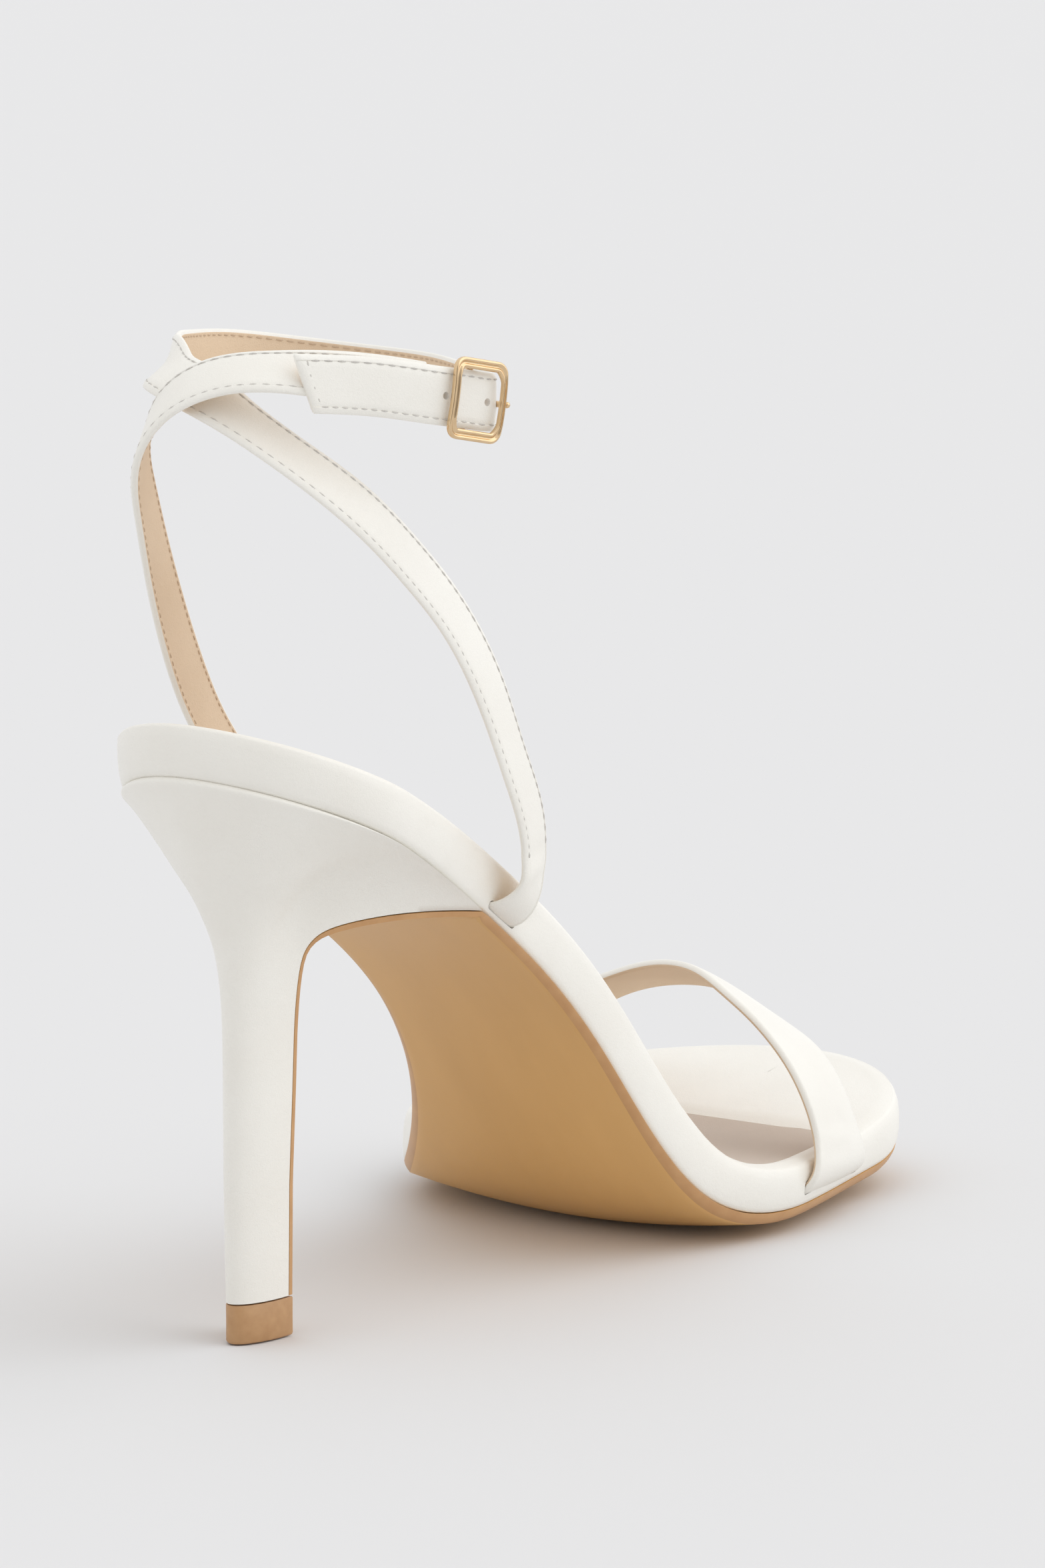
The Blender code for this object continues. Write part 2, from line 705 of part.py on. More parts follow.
def rounded_rectangle(length, height, corner, steps=5):
    """Points of a rectangle with round corners, as (along, across) pairs."""
    points = []
    for quarter, (sx, sy) in enumerate(((1, 1), (-1, 1), (-1, -1), (1, -1))):
        for k in range(steps):
            turn = math.pi / 2 * (quarter + k / (steps - 1))
            x = sx * (length / 2 - corner) + corner * math.cos(turn)
            y = sy * (height / 2 - corner) + corner * math.sin(turn)
            points.append((x, y))
    return points


def add_buckle():
    """Rectangular wire frame over the strap with a middle bar under it."""
    centre, forward, out, up = buckle_frame()
    over = STRAP_THICKNESS / 2 + GAP + BUCKLE_WIRE
    length = BUCKLE_LENGTH - 2 * BUCKLE_WIRE
    height = BUCKLE_HEIGHT - 2 * BUCKLE_WIRE
    corners = rounded_rectangle(length, height, BUCKLE_CORNER)
    ring = []
    for a, c in corners:
        bow = 0.35 * (1.0 - (2.0 * c / height) ** 2)
        ring.append(centre + forward * a + up * c + out * (over + bow))
    frame = wire("buckle", ring, BUCKLE_WIRE, closed=True)
    reach = height / 2
    deep = -bar_depth()
    bar = [
        centre + up * reach + out * over,
        centre + up * reach + out * (over - 1.2),
        centre + up * (reach - 0.35) + out * (deep + 0.6),
        centre + up * (reach - 1.1) + out * deep,
        centre - up * (reach - 1.1) + out * deep,
        centre - up * (reach - 0.35) + out * (deep + 0.6),
        centre - up * reach + out * (over - 1.2),
        centre - up * reach + out * over,
    ]
    return boolean(frame, wire("middle_bar", bar, CENTRE_BAR_WIRE), "UNION")


def prong_route():
    """The prong's line: from the middle bar under the strap, out through its hole to the front bar."""
    centre, forward, out, up = buckle_frame()
    return [centre + forward * a + out * b for a, b in PRONG_LINE]


def add_prong():
    """The prong, turned up at its tip against the front bar."""
    return wire("prong", prong_route(), PRONG_WIRE)


def strap_holes(upper):
    """The holes in the closing strap: two spare ones, and the one that the prong goes through."""
    centre, forward, out, up = buckle_frame()
    for place in SPARE_HOLES:
        middle = centre + forward * place
        boolean(upper, wire("hole", [middle - out * 2.0, middle + out * 2.0], HOLE_RADIUS), "DIFFERENCE")
    return boolean(upper, wire("hole", prong_route(), PRONG_WIRE + GAP), "DIFFERENCE")


def add_toe_strap():
    """The band over the toes, tucked under the footbed on both sides."""
    return toe_band("toe_strap", 0.0)


def toe_band(name, clearance):
    """The toe strap's solid; clearance makes it larger all round."""
    rows = table(TOE_STRAP)
    back = np.column_stack([rows["xb"], rows["yb"], rows["zb"]])
    front = np.column_stack([rows["xf"], rows["yf"], rows["zf"]])
    middle = (back + front) / 2
    along = np.concatenate([[0.0], np.cumsum(np.linalg.norm(np.diff(middle, axis=0), axis=1))])
    route = spline(along, np.hstack([back, front]))
    rings = []
    for at in np.linspace(-2 * clearance, along[-1] + 2 * clearance, 50):
        both = route(at)
        step = route(at + 0.1) - route(at - 0.1)
        across = both[3:] - both[:3]
        width = np.linalg.norm(across)
        across /= width
        outward = np.cross(across, step[:3] + step[3:])
        outward /= np.linalg.norm(outward)
        section = ribbon_section(width + 2 * clearance, TOE_STRAP_THICKNESS + 2 * clearance, 2)
        rings.append((both[:3] + both[3:]) / 2 + section[:, :1] * across + section[:, 1:] * outward)
    return loft(name, rings)


def notch_footbed(footbed):
    """Room under the footbed's edge for the ends of the straps."""
    for text in (OUTER_STRAP, INNER_STRAP):
        cutter = add_strap("notch", text, clearance=GAP, end=30.0)
        boolean(footbed, cutter, "DIFFERENCE")
    boolean(footbed, toe_band("notch", GAP), "DIFFERENCE")
    return footbed


MATERIALS = {
    "outsole": ((0.49, 0.30, 0.13, 1.0), 0.42, 0.0),
    "heel": ((0.86, 0.85, 0.82, 1.0), 0.38, 0.0),
    "top_piece": ((0.42, 0.24, 0.10, 1.0), 0.55, 0.0),
    "footbed": ((0.86, 0.85, 0.82, 1.0), 0.40, 0.0),
    "insole": ((0.60, 0.51, 0.42, 1.0), 0.50, 0.0),
    "toe_strap": ((0.86, 0.85, 0.82, 1.0), 0.40, 0.0),
    "ankle_straps": ((0.86, 0.85, 0.82, 1.0), 0.40, 0.0),
    "buckle": ((0.83, 0.66, 0.42, 1.0), 0.22, 1.0),
    "prong": ((0.83, 0.66, 0.42, 1.0), 0.22, 1.0),
}


def finish(obj):
    """Gives a piece its material and smooth shading."""
    drop_flakes(obj)
    colour, roughness, metallic = MATERIALS[obj.name]
    material = bpy.data.materials.new(obj.name)
    material.use_nodes = True
    shader = material.node_tree.nodes["Principled BSDF"]
    shader.inputs["Base Color"].default_value = colour
    shader.inputs["Roughness"].default_value = roughness
    shader.inputs["Metallic"].default_value = metallic
    obj.data.materials.clear()
    obj.data.materials.append(material)
    obj.data.shade_smooth()
    obj.data.set_sharp_from_angle(angle=math.radians(40.0))


for old in list(bpy.data.objects):
    bpy.data.objects.remove(old)
PARTS = bpy.data.collections.new("heeled_sandal")
bpy.context.scene.collection.children.link(PARTS)

pieces = [
    add_outsole(),
    add_heel(),
    add_top_piece(),
    notch_footbed(add_footbed()),
    add_insole(),
    add_toe_strap(),
    strap_holes(add_ankle_straps()),
    add_buckle(),
    add_prong(),
]
for piece in pieces:
    finish(piece)
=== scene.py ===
"""Looks of a right-foot stiletto sandal: leather, linings, stitching, sock, sole and polished buckle."""

import math

import bmesh
import bpy
import numpy as np
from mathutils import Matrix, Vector


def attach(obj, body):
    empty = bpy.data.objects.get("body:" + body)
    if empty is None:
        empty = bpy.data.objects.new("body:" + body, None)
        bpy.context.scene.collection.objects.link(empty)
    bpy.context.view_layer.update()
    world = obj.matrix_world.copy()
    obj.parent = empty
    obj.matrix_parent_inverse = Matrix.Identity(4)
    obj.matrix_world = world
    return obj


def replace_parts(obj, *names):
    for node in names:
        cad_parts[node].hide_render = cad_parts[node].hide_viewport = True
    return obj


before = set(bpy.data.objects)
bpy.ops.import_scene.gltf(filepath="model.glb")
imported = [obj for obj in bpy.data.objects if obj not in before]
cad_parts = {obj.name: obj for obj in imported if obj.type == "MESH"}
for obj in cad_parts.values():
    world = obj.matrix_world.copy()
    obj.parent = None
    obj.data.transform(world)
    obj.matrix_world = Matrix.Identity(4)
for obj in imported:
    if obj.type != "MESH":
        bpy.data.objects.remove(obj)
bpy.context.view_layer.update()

MM = 0.001

# Lengths are in millimetres. The shoe's last, as in the solids
SOLE_BACK = -22.4
SOLE_TOE = 178.7
HEEL_END_LENGTH = 27.6
HEEL_END_POWER = 1.9
TOE_END_LENGTH = 29.0
ARCH_TWIST = 0.049
SEAM = 0.06
OUTSOLE_EDGE = 1.8
OUTSOLE_CROWN = 3.1
UNDER_INSET = 1.2
BREAST_SHEET = 0.8
TOP_PIECE_HEIGHT = 6.15
TOP_PIECE_FRONT = 5.5
FLARE_FOOT = 48.0
HEEL_CORNER_OUTER = 30.7
HEEL_CORNER_INNER = 29.2
SOCK_INSET = 3.5
SOCK_FRONT = 139.5
SOCK_THICKNESS = 0.55
SOCK_UNDER = -0.72

STRAP_WIDTH = 9.0
STRAP_THICKNESS = 1.2
TOE_STRAP_THICKNESS = 1.4
STITCH_INSET = 1.0
STITCH_PITCH = 1.85
STITCH_LENGTH = 1.3
STITCH_RADIUS = 0.15

BUCKLE_AT = 12.8
BUCKLE_LENGTH = 10.8
BUCKLE_HEIGHT = 12.6
BUCKLE_CORNER = 1.15
BAR_GROOVE = 0.4
BAR_WIDE = 1.7
REAR_BAR_WIDE = 1.3
FRONT_BAR_WIDE = 0.85
BAR_DEEP = 1.1
CENTRE_BAR_WIRE = 0.55
TAB_WIDTH = 6.0
TAB_THICKNESS = 1.1
PRONG_WIRE = 0.5
PRONG_LINE = ((1.5, -1.9), (3.4, -1.95), (4.8, -1.55), (5.7, -0.75), (6.2, 0.2), (6.35, 1.3))
SPARE_HOLES = (2.9, -5.6)
HOLE_RADIUS = 0.6

# Half the length that a direction is measured over, and the room round a strap's end in the footbed
NEARBY = 0.1
POCKET_WIDER = 0.12
POCKET_DEEPER = 0.1
# Between a strap's face and the buckle's bars
BAR_CLEARANCE = 0.3
# A stitch from end to end: share of its length, share of its radius, and rise over its row
STITCH_SHAPE = (
    (0.0, 0.35, -0.16),
    (0.12, 0.85, -0.02),
    (0.5, 1.0, 0.05),
    (0.88, 0.85, -0.02),
    (1.0, 0.35, -0.16),
)

PROFILE = """
x     z
-25.0 92.0
-5.0  83.3
15.0  73.9
35.0  63.1
52.0  52.0
66.0  39.0
79.0  23.6
92.0  11.4
106.0 5.6
125.0 4.7
150.0 5.5
180.0 10.3
"""

OUTLINE = """
x     centre half
-25.0 -1.5   23.6
0.0   -2.9   23.4
25.0  -2.9   20.7
50.0  -2.6   19.7
75.0  -2.2   22.1
95.0  2.8    30.5
115.0 7.5    38.6
135.0 11.2   40.1
155.0 10.4   37.4
180.0 3.0    33.3
"""

PADDING = """
x     outer inner
-25.0 8.4   8.4
20.0  8.6   8.6
60.0  8.8   8.8
85.0  8.7   8.8
105.0 7.8   9.0
120.0 7.2   9.2
134.0 6.9   9.2
155.0 8.4   9.2
180.0 9.2   9.2
"""

STEM = """
z    front back half centre
6.45 4.4   -5.7 3.9  0.0
25.0 3.1   -7.1 4.2  -0.8
44.0 2.3   -8.1 4.7  -1.7
60.0 1.9   -8.6 5.0  -2.1
"""

FLARE = """
edge_rise edge_out back_rise back_out
0.0       0.0      0.0       0.0
0.28      0.01     0.12      0.01
0.55      0.03     0.24      0.04
0.75      0.065    0.35      0.10
0.88      0.13     0.45      0.20
0.96      0.22     0.55      0.33
1.01      0.35     0.64      0.48
1.04      0.50     0.73      0.62
1.05      0.65     0.82      0.76
1.04      0.80     0.90      0.88
1.02      0.92     0.955     0.965
1.005     0.98     0.985     1.0
1.0       1.0      1.0       0.955
"""

OUTER_STRAP = """
x     y     z     nx    ny    nz
36.6  -13.0 63.9  -0.48 0.0   -0.88
36.6  -18.3 63.8  -0.48 -0.05 -0.88
37.2  -23.7 64.0  -0.30 -0.72 -0.63
38.6  -26.3 67.0  0.10  -0.99 -0.15
38.9  -27.4 72.0  0.20  -0.98 -0.05
36.6  -28.4 79.0  0.16  -0.98 0.0
30.9  -28.9 88.9  0.14  -0.98 0.08
24.4  -28.4 101.2 0.06  -0.97 0.14
17.3  -26.6 112.6 0.05  -0.95 0.20
7.8   -24.8 122.2 0.0   -0.93 0.25
-3.0  -21.8 131.7 -0.05 -0.90 0.34
-11.0 -15.7 139.4 -0.08 -0.88 0.47
-15.6 -8.4  145.6 -0.35 -0.69 0.63
-16.6 -1.4  149.7 -0.66 -0.10 0.74
-12.9 5.7   151.4 -0.54 0.24  0.81
-5.8  10.0  152.3 -0.49 0.78  0.30
2.9   15.6  151.9 -0.32 0.92  0.20
14.2  20.1  151.0 -0.11 0.99  0.03
27.8  22.0  150.1 0.15  0.99  0.0
40.0  16.1  148.3 0.75  0.66  0.0
44.6  3.9   147.0 1.0   0.0   0.0
39.7  -8.5  146.7 0.89  -0.45 0.0
32.9  -17.5 146.4 0.8   -0.6  0.0
25.5  -25.9 146.2 0.72  -0.69 0.0
21.3  -30.1 146.2 0.68  -0.73 0.0
19.2  -32.0 146.2 0.6   -0.8  0.0
18.1  -32.9 146.2 0.35  -0.94 0.0
17.1  -33.3 146.3 0.05  -1.0  0.0
16.0  -33.2 146.4 -0.2  -0.98 0.0
13.0  -32.4 146.9 -0.25 -0.97 0.0
8.0   -31.0 147.7 -0.30 -0.95 0.0
-4.0  -25.4 149.8 -0.42 -0.90 0.08
-13.7 -18.8 150.6 -0.50 -0.83 0.20
"""
TIP_SLANT = 3.0
TIP_SHORTER = 0.9
HEEL_BEND_AT = 15.4
HEEL_BEND_REACH = 5.0
HEEL_BEND_TRIM = (0.42, 0.14)

INNER_STRAP = """
x     y     z     nx    ny    nz
36.6  6.0   64.2  -0.48 0.0   -0.88
36.6  12.0  64.5  -0.48 0.05  -0.88
37.0  17.4  65.4  -0.35 0.71  -0.61
37.8  19.6  68.2  -0.10 0.99  -0.1
37.8  21.6  73.0  -0.04 1.0   -0.05
35.6  23.8  79.0  -0.05 1.0   -0.05
27.7  24.2  88.1  -0.10 0.99  -0.05
18.3  22.0  96.3  -0.08 1.0   0.05
7.7   18.6  107.0 -0.10 0.99  0.11
-3.3  14.5  120.0 -0.20 0.97  0.11
-14.0 9.5   132.1 -0.37 0.92  0.15
-20.2 5.2   141.0 -0.50 0.82  0.30
-20.8 0.6   147.3 -0.64 0.27  0.72
-18.3 -5.8  151.2 -0.50 -0.27 0.82
-12.6 -15.0 152.2 -0.28 -0.62 0.73
-3.8  -22.4 150.9 -0.33 -0.80 0.48
6.0   -28.0 148.6 -0.40 -0.90 0.15
"""

TOE_STRAP = """
xb    yb    zb   xf    yf    zf
116.5 -23.5 6.0  139.5 -20.5 6.1
116.8 -30.0 6.1  140.0 -26.8 6.3
117.6 -33.0 9.0  139.4 -30.0 8.4
119.6 -32.5 14.5 138.2 -29.6 13.8
119.8 -30.3 21.3 137.2 -27.4 20.4
119.9 -26.6 27.5 137.7 -23.6 25.4
121.1 -19.9 33.6 139.3 -18.0 28.6
123.7 -12.0 37.8 141.2 -10.2 31.6
127.5 -3.7  40.5 144.5 -1.5  34.1
132.2 7.6   39.9 149.0 8.3   34.2
136.1 20.4  35.7 153.1 20.2  32.1
138.4 33.0  30.3 155.9 31.7  27.4
139.7 44.0  23.2 157.5 41.2  20.6
140.3 50.9  15.4 158.2 46.8  14.6
140.3 52.6  9.8  158.0 48.0  10.2
140.0 50.4  6.6  157.6 45.4  7.7
139.8 44.4  6.2  157.2 39.6  7.4
"""

# Side of the padded footbed, from under its edge round to its top: crisp at the seat, puffy at the forefoot
FOOTBED_SIDE = """
inset_s share_s height_s inset_f share_f height_f
6.0     0.0     0.06     6.0     0.0     0.06
1.8     0.0     0.06     1.6     0.0     0.0
0.8     0.0     0.15     0.6     0.0     0.0
0.25    0.0     0.55     0.05    0.0     0.12
0.0     0.0     1.4      -0.3    0.0     0.8
-0.3    0.2     1.2      -0.65   0.15    1.0
-0.45   0.45    0.6      -0.85   0.45    0.8
-0.5    0.7     0.2      -0.8    0.68    0.5
-0.45   0.88    0.05     -0.5    0.84    0.4
-0.25   1.0     -0.6     -0.05   0.94    0.3
0.05    1.0     -0.28    0.7     1.0     -0.1
0.5     1.0     -0.08    1.6     1.0     0.2
1.2     1.0     0.0      2.6     1.0     0.2
2.4     1.0     0.0      3.6     1.0     -0.05
3.3     1.0     -0.1     5.0     1.0     -0.5
3.8     1.0     -0.55    7.0     1.0     -0.8
5.0     1.0     -0.8     10.0    1.0     -0.9
12.0    1.0     -0.8     14.0    1.0     -0.9
"""


def table(text):
    """The columns of a table written as text, as arrays by name."""
    rows = [line.split() for line in text.strip().splitlines()]
    values = np.array([[float(cell) for cell in row] for row in rows[1:]])
    return dict(zip(rows[0], values.T))


def columns(rows, names):
    """Named columns of a table side by side."""
    return np.column_stack([rows[name] for name in names.split()])


def lengths_along(points):
    """Length of a broken line up to each of its points."""
    return np.concatenate([[0.0], np.cumsum(np.linalg.norm(np.diff(points, axis=0), axis=1))])


def unit(vectors):
    """Vectors scaled to length 1."""
    return vectors / np.linalg.norm(vectors, axis=-1, keepdims=True)


def spline(at, value):
    """A natural cubic through the values, straight past its ends; value may hold several columns."""
    at = np.asarray(at, float)
    value = np.asarray(value, float)
    step = np.diff(at)
    count = len(at)
    system = np.eye(count)
    right = np.zeros_like(value)
    slope = np.diff(value, axis=0) / (step if value.ndim == 1 else step[:, None])
    for i in range(1, count - 1):
        system[i, i - 1] = step[i - 1]
        system[i, i] = 2.0 * (step[i - 1] + step[i])
        system[i, i + 1] = step[i]
        right[i] = 6.0 * (slope[i] - slope[i - 1])
    bend = np.linalg.solve(system, right)

    def evaluate(where):
        where = np.asarray(where, float)
        inside = np.clip(where, at[0], at[-1])
        i = np.clip(np.searchsorted(at, inside, side="right") - 1, 0, count - 2)
        h = step[i]
        a = (at[i + 1] - inside) / h
        b = (inside - at[i]) / h
        over = where - inside
        if value.ndim == 2:
            a, b, h, over = a[..., None], b[..., None], h[..., None], over[..., None]
        curve = a * value[i] + b * value[i + 1]
        curve = curve + ((a**3 - a) * bend[i] + (b**3 - b) * bend[i + 1]) * h * h / 6.0
        end_slope = slope[i] + h * ((3 * b * b - 1) * bend[i + 1] - (3 * a * a - 1) * bend[i]) / 6.0
        return curve + over * end_slope

    return evaluate


def smooth(low, high, value):
    """0 below low, 1 above high and an even S between them."""
    t = np.clip((np.asarray(value, float) - low) / (high - low), 0.0, 1.0)
    return t * t * (3.0 - 2.0 * t)


profile_table = table(PROFILE)
outline_table = table(OUTLINE)
padding_table = table(PADDING)
stem_table = table(STEM)
profile_height = spline(profile_table["x"], profile_table["z"])
outline_centre = spline(outline_table["x"], outline_table["centre"])
outline_half = spline(outline_table["x"], outline_table["half"])


def plane_height(x, y):
    """Height of the footbed's underside, which twists a little along the arch."""
    twist = ARCH_TWIST * smooth(10.0, 70.0, x) * (1.0 - smooth(85.0, 125.0, x))
    return profile_height(x) + twist * (y - outline_centre(x))


def end_rounding(x):
    """1 along the sole, falling to 0 in a rounded heel end and toe end."""
    heel = np.clip((x - SOLE_BACK) / HEEL_END_LENGTH, 0.0, 1.0)
    toe = np.clip((SOLE_TOE - x) / TOE_END_LENGTH, 0.0, 1.0)
    heel = np.maximum(1.0 - (1.0 - heel) ** HEEL_END_POWER, 0.0) ** (1.0 / HEEL_END_POWER)
    return heel * np.sqrt(np.maximum(1.0 - (1.0 - toe) ** 2, 0.0))


def outline_side(x, side):
    """The sole's edge at x: side is -1 on the outer side of the foot and 1 on the inner."""
    return outline_centre(x) + side * outline_half(x) * end_rounding(x)


def padding(x, y):
    """Thickness of the footbed, from one side of the foot to the other."""
    outer = np.interp(x, padding_table["x"], padding_table["outer"])
    inner = np.interp(x, padding_table["x"], padding_table["inner"])
    share = np.clip((y - outline_centre(x)) / outline_half(x), -1.0, 1.0) / 2.0 + 0.5
    return outer + (inner - outer) * share


def above_plane(x, y, height):
    """Points at a height over the sole's plane, upright at the seat and square to it from the arch on."""
    slope = (plane_height(x + 0.5, y) - plane_height(x - 0.5, y)) * smooth(-10.0, 50.0, x)
    square = np.hypot(slope, 1.0)
    return np.column_stack([x - height * slope / square, y, plane_height(x, y) + height / square])


def node_shader(name):
    """A new material and its node tree, with its Principled shader."""
    material = bpy.data.materials.new(name)
    material.use_nodes = True
    tree = material.node_tree
    return material, tree, tree.nodes["Principled BSDF"]


def add_node(tree, kind, inputs=(), **settings):
    """A node with settings made; inputs are (socket name, value or output socket)."""
    made = tree.nodes.new(kind)
    for key, value in settings.items():
        setattr(made, key, value)
    for key, value in inputs:
        socket = made.inputs[key]
        if isinstance(value, bpy.types.NodeSocket):
            tree.links.new(value, socket)
        else:
            socket.default_value = value
    return made


def ramp(tree, factor, stops):
    """A colour ramp over a factor; stops are (position, colour)."""
    made = tree.nodes.new("ShaderNodeValToRGB")
    tree.links.new(factor, made.inputs["Fac"])
    elements = made.color_ramp.elements
    while len(elements) < len(stops):
        elements.new(0.5)
    for element, (position, colour) in zip(elements, stops):
        element.position = position
        element.color = (*colour, 1.0)
    return made.outputs["Color"]


def linear(red, green, blue):
    """Linear colour of an sRGB colour given as 0 to 255."""
    values = [c / 255.0 for c in (red, green, blue)]
    return tuple(c / 12.92 if c <= 0.04045 else ((c + 0.055) / 1.055) ** 2.4 for c in values)


def noise(tree, place, scale, detail):
    """Outputs of a noise texture."""
    inputs = [("Vector", place), ("Scale", scale), ("Detail", detail)]
    return add_node(tree, "ShaderNodeTexNoise", inputs).outputs


def add_relief(tree, shader, height, depth, strength):
    """Fine bumps, their depth in millimetres."""
    inputs = [("Strength", strength), ("Distance", depth * MM), ("Height", height)]
    bump = add_node(tree, "ShaderNodeBump", inputs)
    tree.links.new(bump.outputs["Normal"], shader.inputs["Normal"])


def add_gloss(tree, shader, factor, low, high):
    """Roughness that goes from low to high with a factor."""
    gloss = add_node(tree, "ShaderNodeMapRange", [("Value", factor), ("To Min", low), ("To Max", high)])
    tree.links.new(gloss.outputs["Result"], shader.inputs["Roughness"])


def add_coat(shader, weight, roughness):
    """A clear finish over the surface."""
    shader.inputs["Coat Weight"].default_value = weight
    shader.inputs["Coat Roughness"].default_value = roughness


def leather(name, light, dark, pebble, depth, roughness, coat=0.0, patch=60.0):
    """Leather: two close tones in soft patches, a pebble grain with pores, and a gloss that varies a bit."""
    material, tree, shader = node_shader(name)
    place = tree.nodes.new("ShaderNodeTexCoord").outputs["Object"]
    clouds = noise(tree, place, patch, 4.0)["Fac"]
    tree.links.new(ramp(tree, clouds, [(0.25, dark), (0.75, light)]), shader.inputs["Base Color"])
    bend = noise(tree, place, pebble * 0.5, 2.0)["Color"]
    inputs = [(0, bend), ("Scale", 0.7 / pebble)]
    shifted = add_node(tree, "ShaderNodeVectorMath", inputs, operation="SCALE").outputs[0]
    moved = add_node(tree, "ShaderNodeVectorMath", [(0, place), (1, shifted)], operation="ADD").outputs[0]
    inputs = [("Vector", moved), ("Scale", pebble)]
    cells = add_node(tree, "ShaderNodeTexVoronoi", inputs, feature="SMOOTH_F1").outputs["Distance"]
    fine = noise(tree, place, pebble * 3.0, 5.0)["Fac"]
    height = add_node(tree, "ShaderNodeMath", [(0, cells), (1, fine), (2, fine)], operation="MULTIPLY_ADD")
    add_relief(tree, shader, height.outputs[0], depth, 1.0)
    add_gloss(tree, shader, clouds, roughness - 0.05, roughness + 0.06)
    add_coat(shader, coat, 0.25)
    return material


def multiplied(tree, factor, first, second):
    """One colour times another, by a factor."""
    inputs = [("Factor", factor), (6, first), (7, second)]
    return add_node(tree, "ShaderNodeMix", inputs, data_type="RGBA", blend_type="MULTIPLY").outputs[2]


def sole_leather():
    """Polished tan sole leather: long soft streaks and faint pores, with painted shade: darker and less
    golden towards the arch, full tone at the ball to offset the shade that falls on the ball near the floor.
    """
    material, tree, shader = node_shader("sole_leather")
    place = tree.nodes.new("ShaderNodeTexCoord").outputs["Object"]
    stretched = add_node(tree, "ShaderNodeMapping", [("Vector", place), ("Scale", (14.0, 90.0, 30.0))])
    streaks = noise(tree, stretched.outputs[0], 1.0, 6.0)["Fac"]
    tones = ramp(tree, streaks, [(0.25, linear(228, 178, 106)), (0.75, linear(238, 188, 115))])
    along = add_node(tree, "ShaderNodeSeparateXYZ", [("Vector", place)]).outputs["X"]
    inputs = [("Value", along), ("From Min", 0.14), ("From Max", 0.04)]
    arch = add_node(tree, "ShaderNodeMapRange", inputs, interpolation_type="SMOOTHSTEP").outputs["Result"]
    # Painted light and shade: the colour is multiplied darker towards the arch and left full at the ball, to
    # offset how light falls under the sole
    painted_shading = multiplied(tree, arch, tones, (0.82, 0.82, 0.90, 1.0))
    tree.links.new(painted_shading, shader.inputs["Base Color"])
    add_relief(tree, shader, noise(tree, place, 2600.0, 4.0)["Fac"], 0.03, 0.6)
    add_gloss(tree, shader, streaks, 0.34, 0.46)
    add_coat(shader, 0.15, 0.3)
    return material


def plain_grain(name, colour, other, scale, depth, roughness, metallic=0.0):
    """A hard or spun surface with fine grain: edge paint, hard plastic, thread, metal."""
    material, tree, shader = node_shader(name)
    place = tree.nodes.new("ShaderNodeTexCoord").outputs["Object"]
    grain = noise(tree, place, scale, 5.0)["Fac"]
    tree.links.new(ramp(tree, grain, [(0.3, other), (0.7, colour)]), shader.inputs["Base Color"])
    add_relief(tree, shader, grain, depth, 0.7)
    add_gloss(tree, shader, grain, max(roughness - 0.05, 0.04), roughness + 0.07)
    shader.inputs["Metallic"].default_value = metallic
    return material


WHITE = leather("white_leather", linear(248, 246, 239), linear(243, 240, 232), 1700.0, 0.04, 0.40, 0.12)
LINING = leather("lining", linear(233, 209, 180), linear(222, 196, 165), 1500.0, 0.05, 0.58, 0.0, 45.0)
SOCK = leather("sock_leather", linear(208, 193, 179), linear(198, 182, 167), 1500.0, 0.05, 0.5, 0.05, 40.0)
SOLE = sole_leather()
EDGE = plain_grain("edge_paint", linear(205, 159, 109), linear(196, 148, 98), 300.0, 0.02, 0.38)
TOP_PIECE = plain_grain("top_piece", linear(194, 152, 108), linear(182, 139, 95), 500.0, 0.04, 0.45)
THREAD = plain_grain("thread", linear(216, 213, 207), linear(198, 194, 188), 5000.0, 0.04, 0.6)
LINING_THREAD = plain_grain("lining_thread", linear(214, 190, 162), linear(198, 172, 144), 5000.0, 0.04, 0.6)
GOLD = plain_grain("gold", linear(230, 202, 163), linear(222, 192, 152), 700.0, 0.004, 0.15, metallic=1.0)
HOLE = plain_grain("hole_wall", linear(246, 243, 237), linear(238, 234, 228), 3000.0, 0.05, 0.7)


def make(name, points, faces, materials, indices=None, slot="upper"):
    """Links a mesh in millimetres as a smooth piece that rides on the shoe."""
    data = bpy.data.meshes.new(name)
    data.from_pydata((np.asarray(points) * MM).tolist(), [], faces)
    if indices is not None:
        data.polygons.foreach_set("material_index", np.asarray(indices, np.int32))
    for material in materials:
        data.materials.append(material)
    mesh = bmesh.new()
    mesh.from_mesh(data)
    bmesh.ops.remove_doubles(mesh, verts=mesh.verts, dist=1e-6)
    bmesh.ops.recalc_face_normals(mesh, faces=mesh.faces)
    mesh.to_mesh(data)
    mesh.free()
    data.shade_smooth()
    piece = bpy.data.objects.new(name, data)
    bpy.context.scene.collection.objects.link(piece)
    if slot:
        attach(piece, "root")
    return piece


def tube_faces(rows, around, closed=False):
    """Quads between rings; closed joins the last ring to the first."""
    i, j = np.meshgrid(np.arange(rows if closed else rows - 1), np.arange(around), indexing="ij")
    i, j = i.ravel(), j.ravel()
    up, on = (i + 1) % rows, (j + 1) % around
    return np.column_stack([i * around + j, i * around + on, up * around + on, up * around + j])


def loft(name, rings, materials, ring_index=None, slot="upper"):
    """A closed solid through rings, its ends filled; ring_index gives each side strip's material."""
    rings = np.asarray(rings, float)
    rows, around = rings.shape[:2]
    faces = tube_faces(rows, around).tolist()
    indices = [0] * len(faces) if ring_index is None else list(ring_index) * (rows - 1)
    faces.append(list(range(around - 1, -1, -1)))
    faces.append(list(range((rows - 1) * around, rows * around)))
    return make(name, rings.reshape(-1, 3), faces, materials, indices + [0, 0], slot)


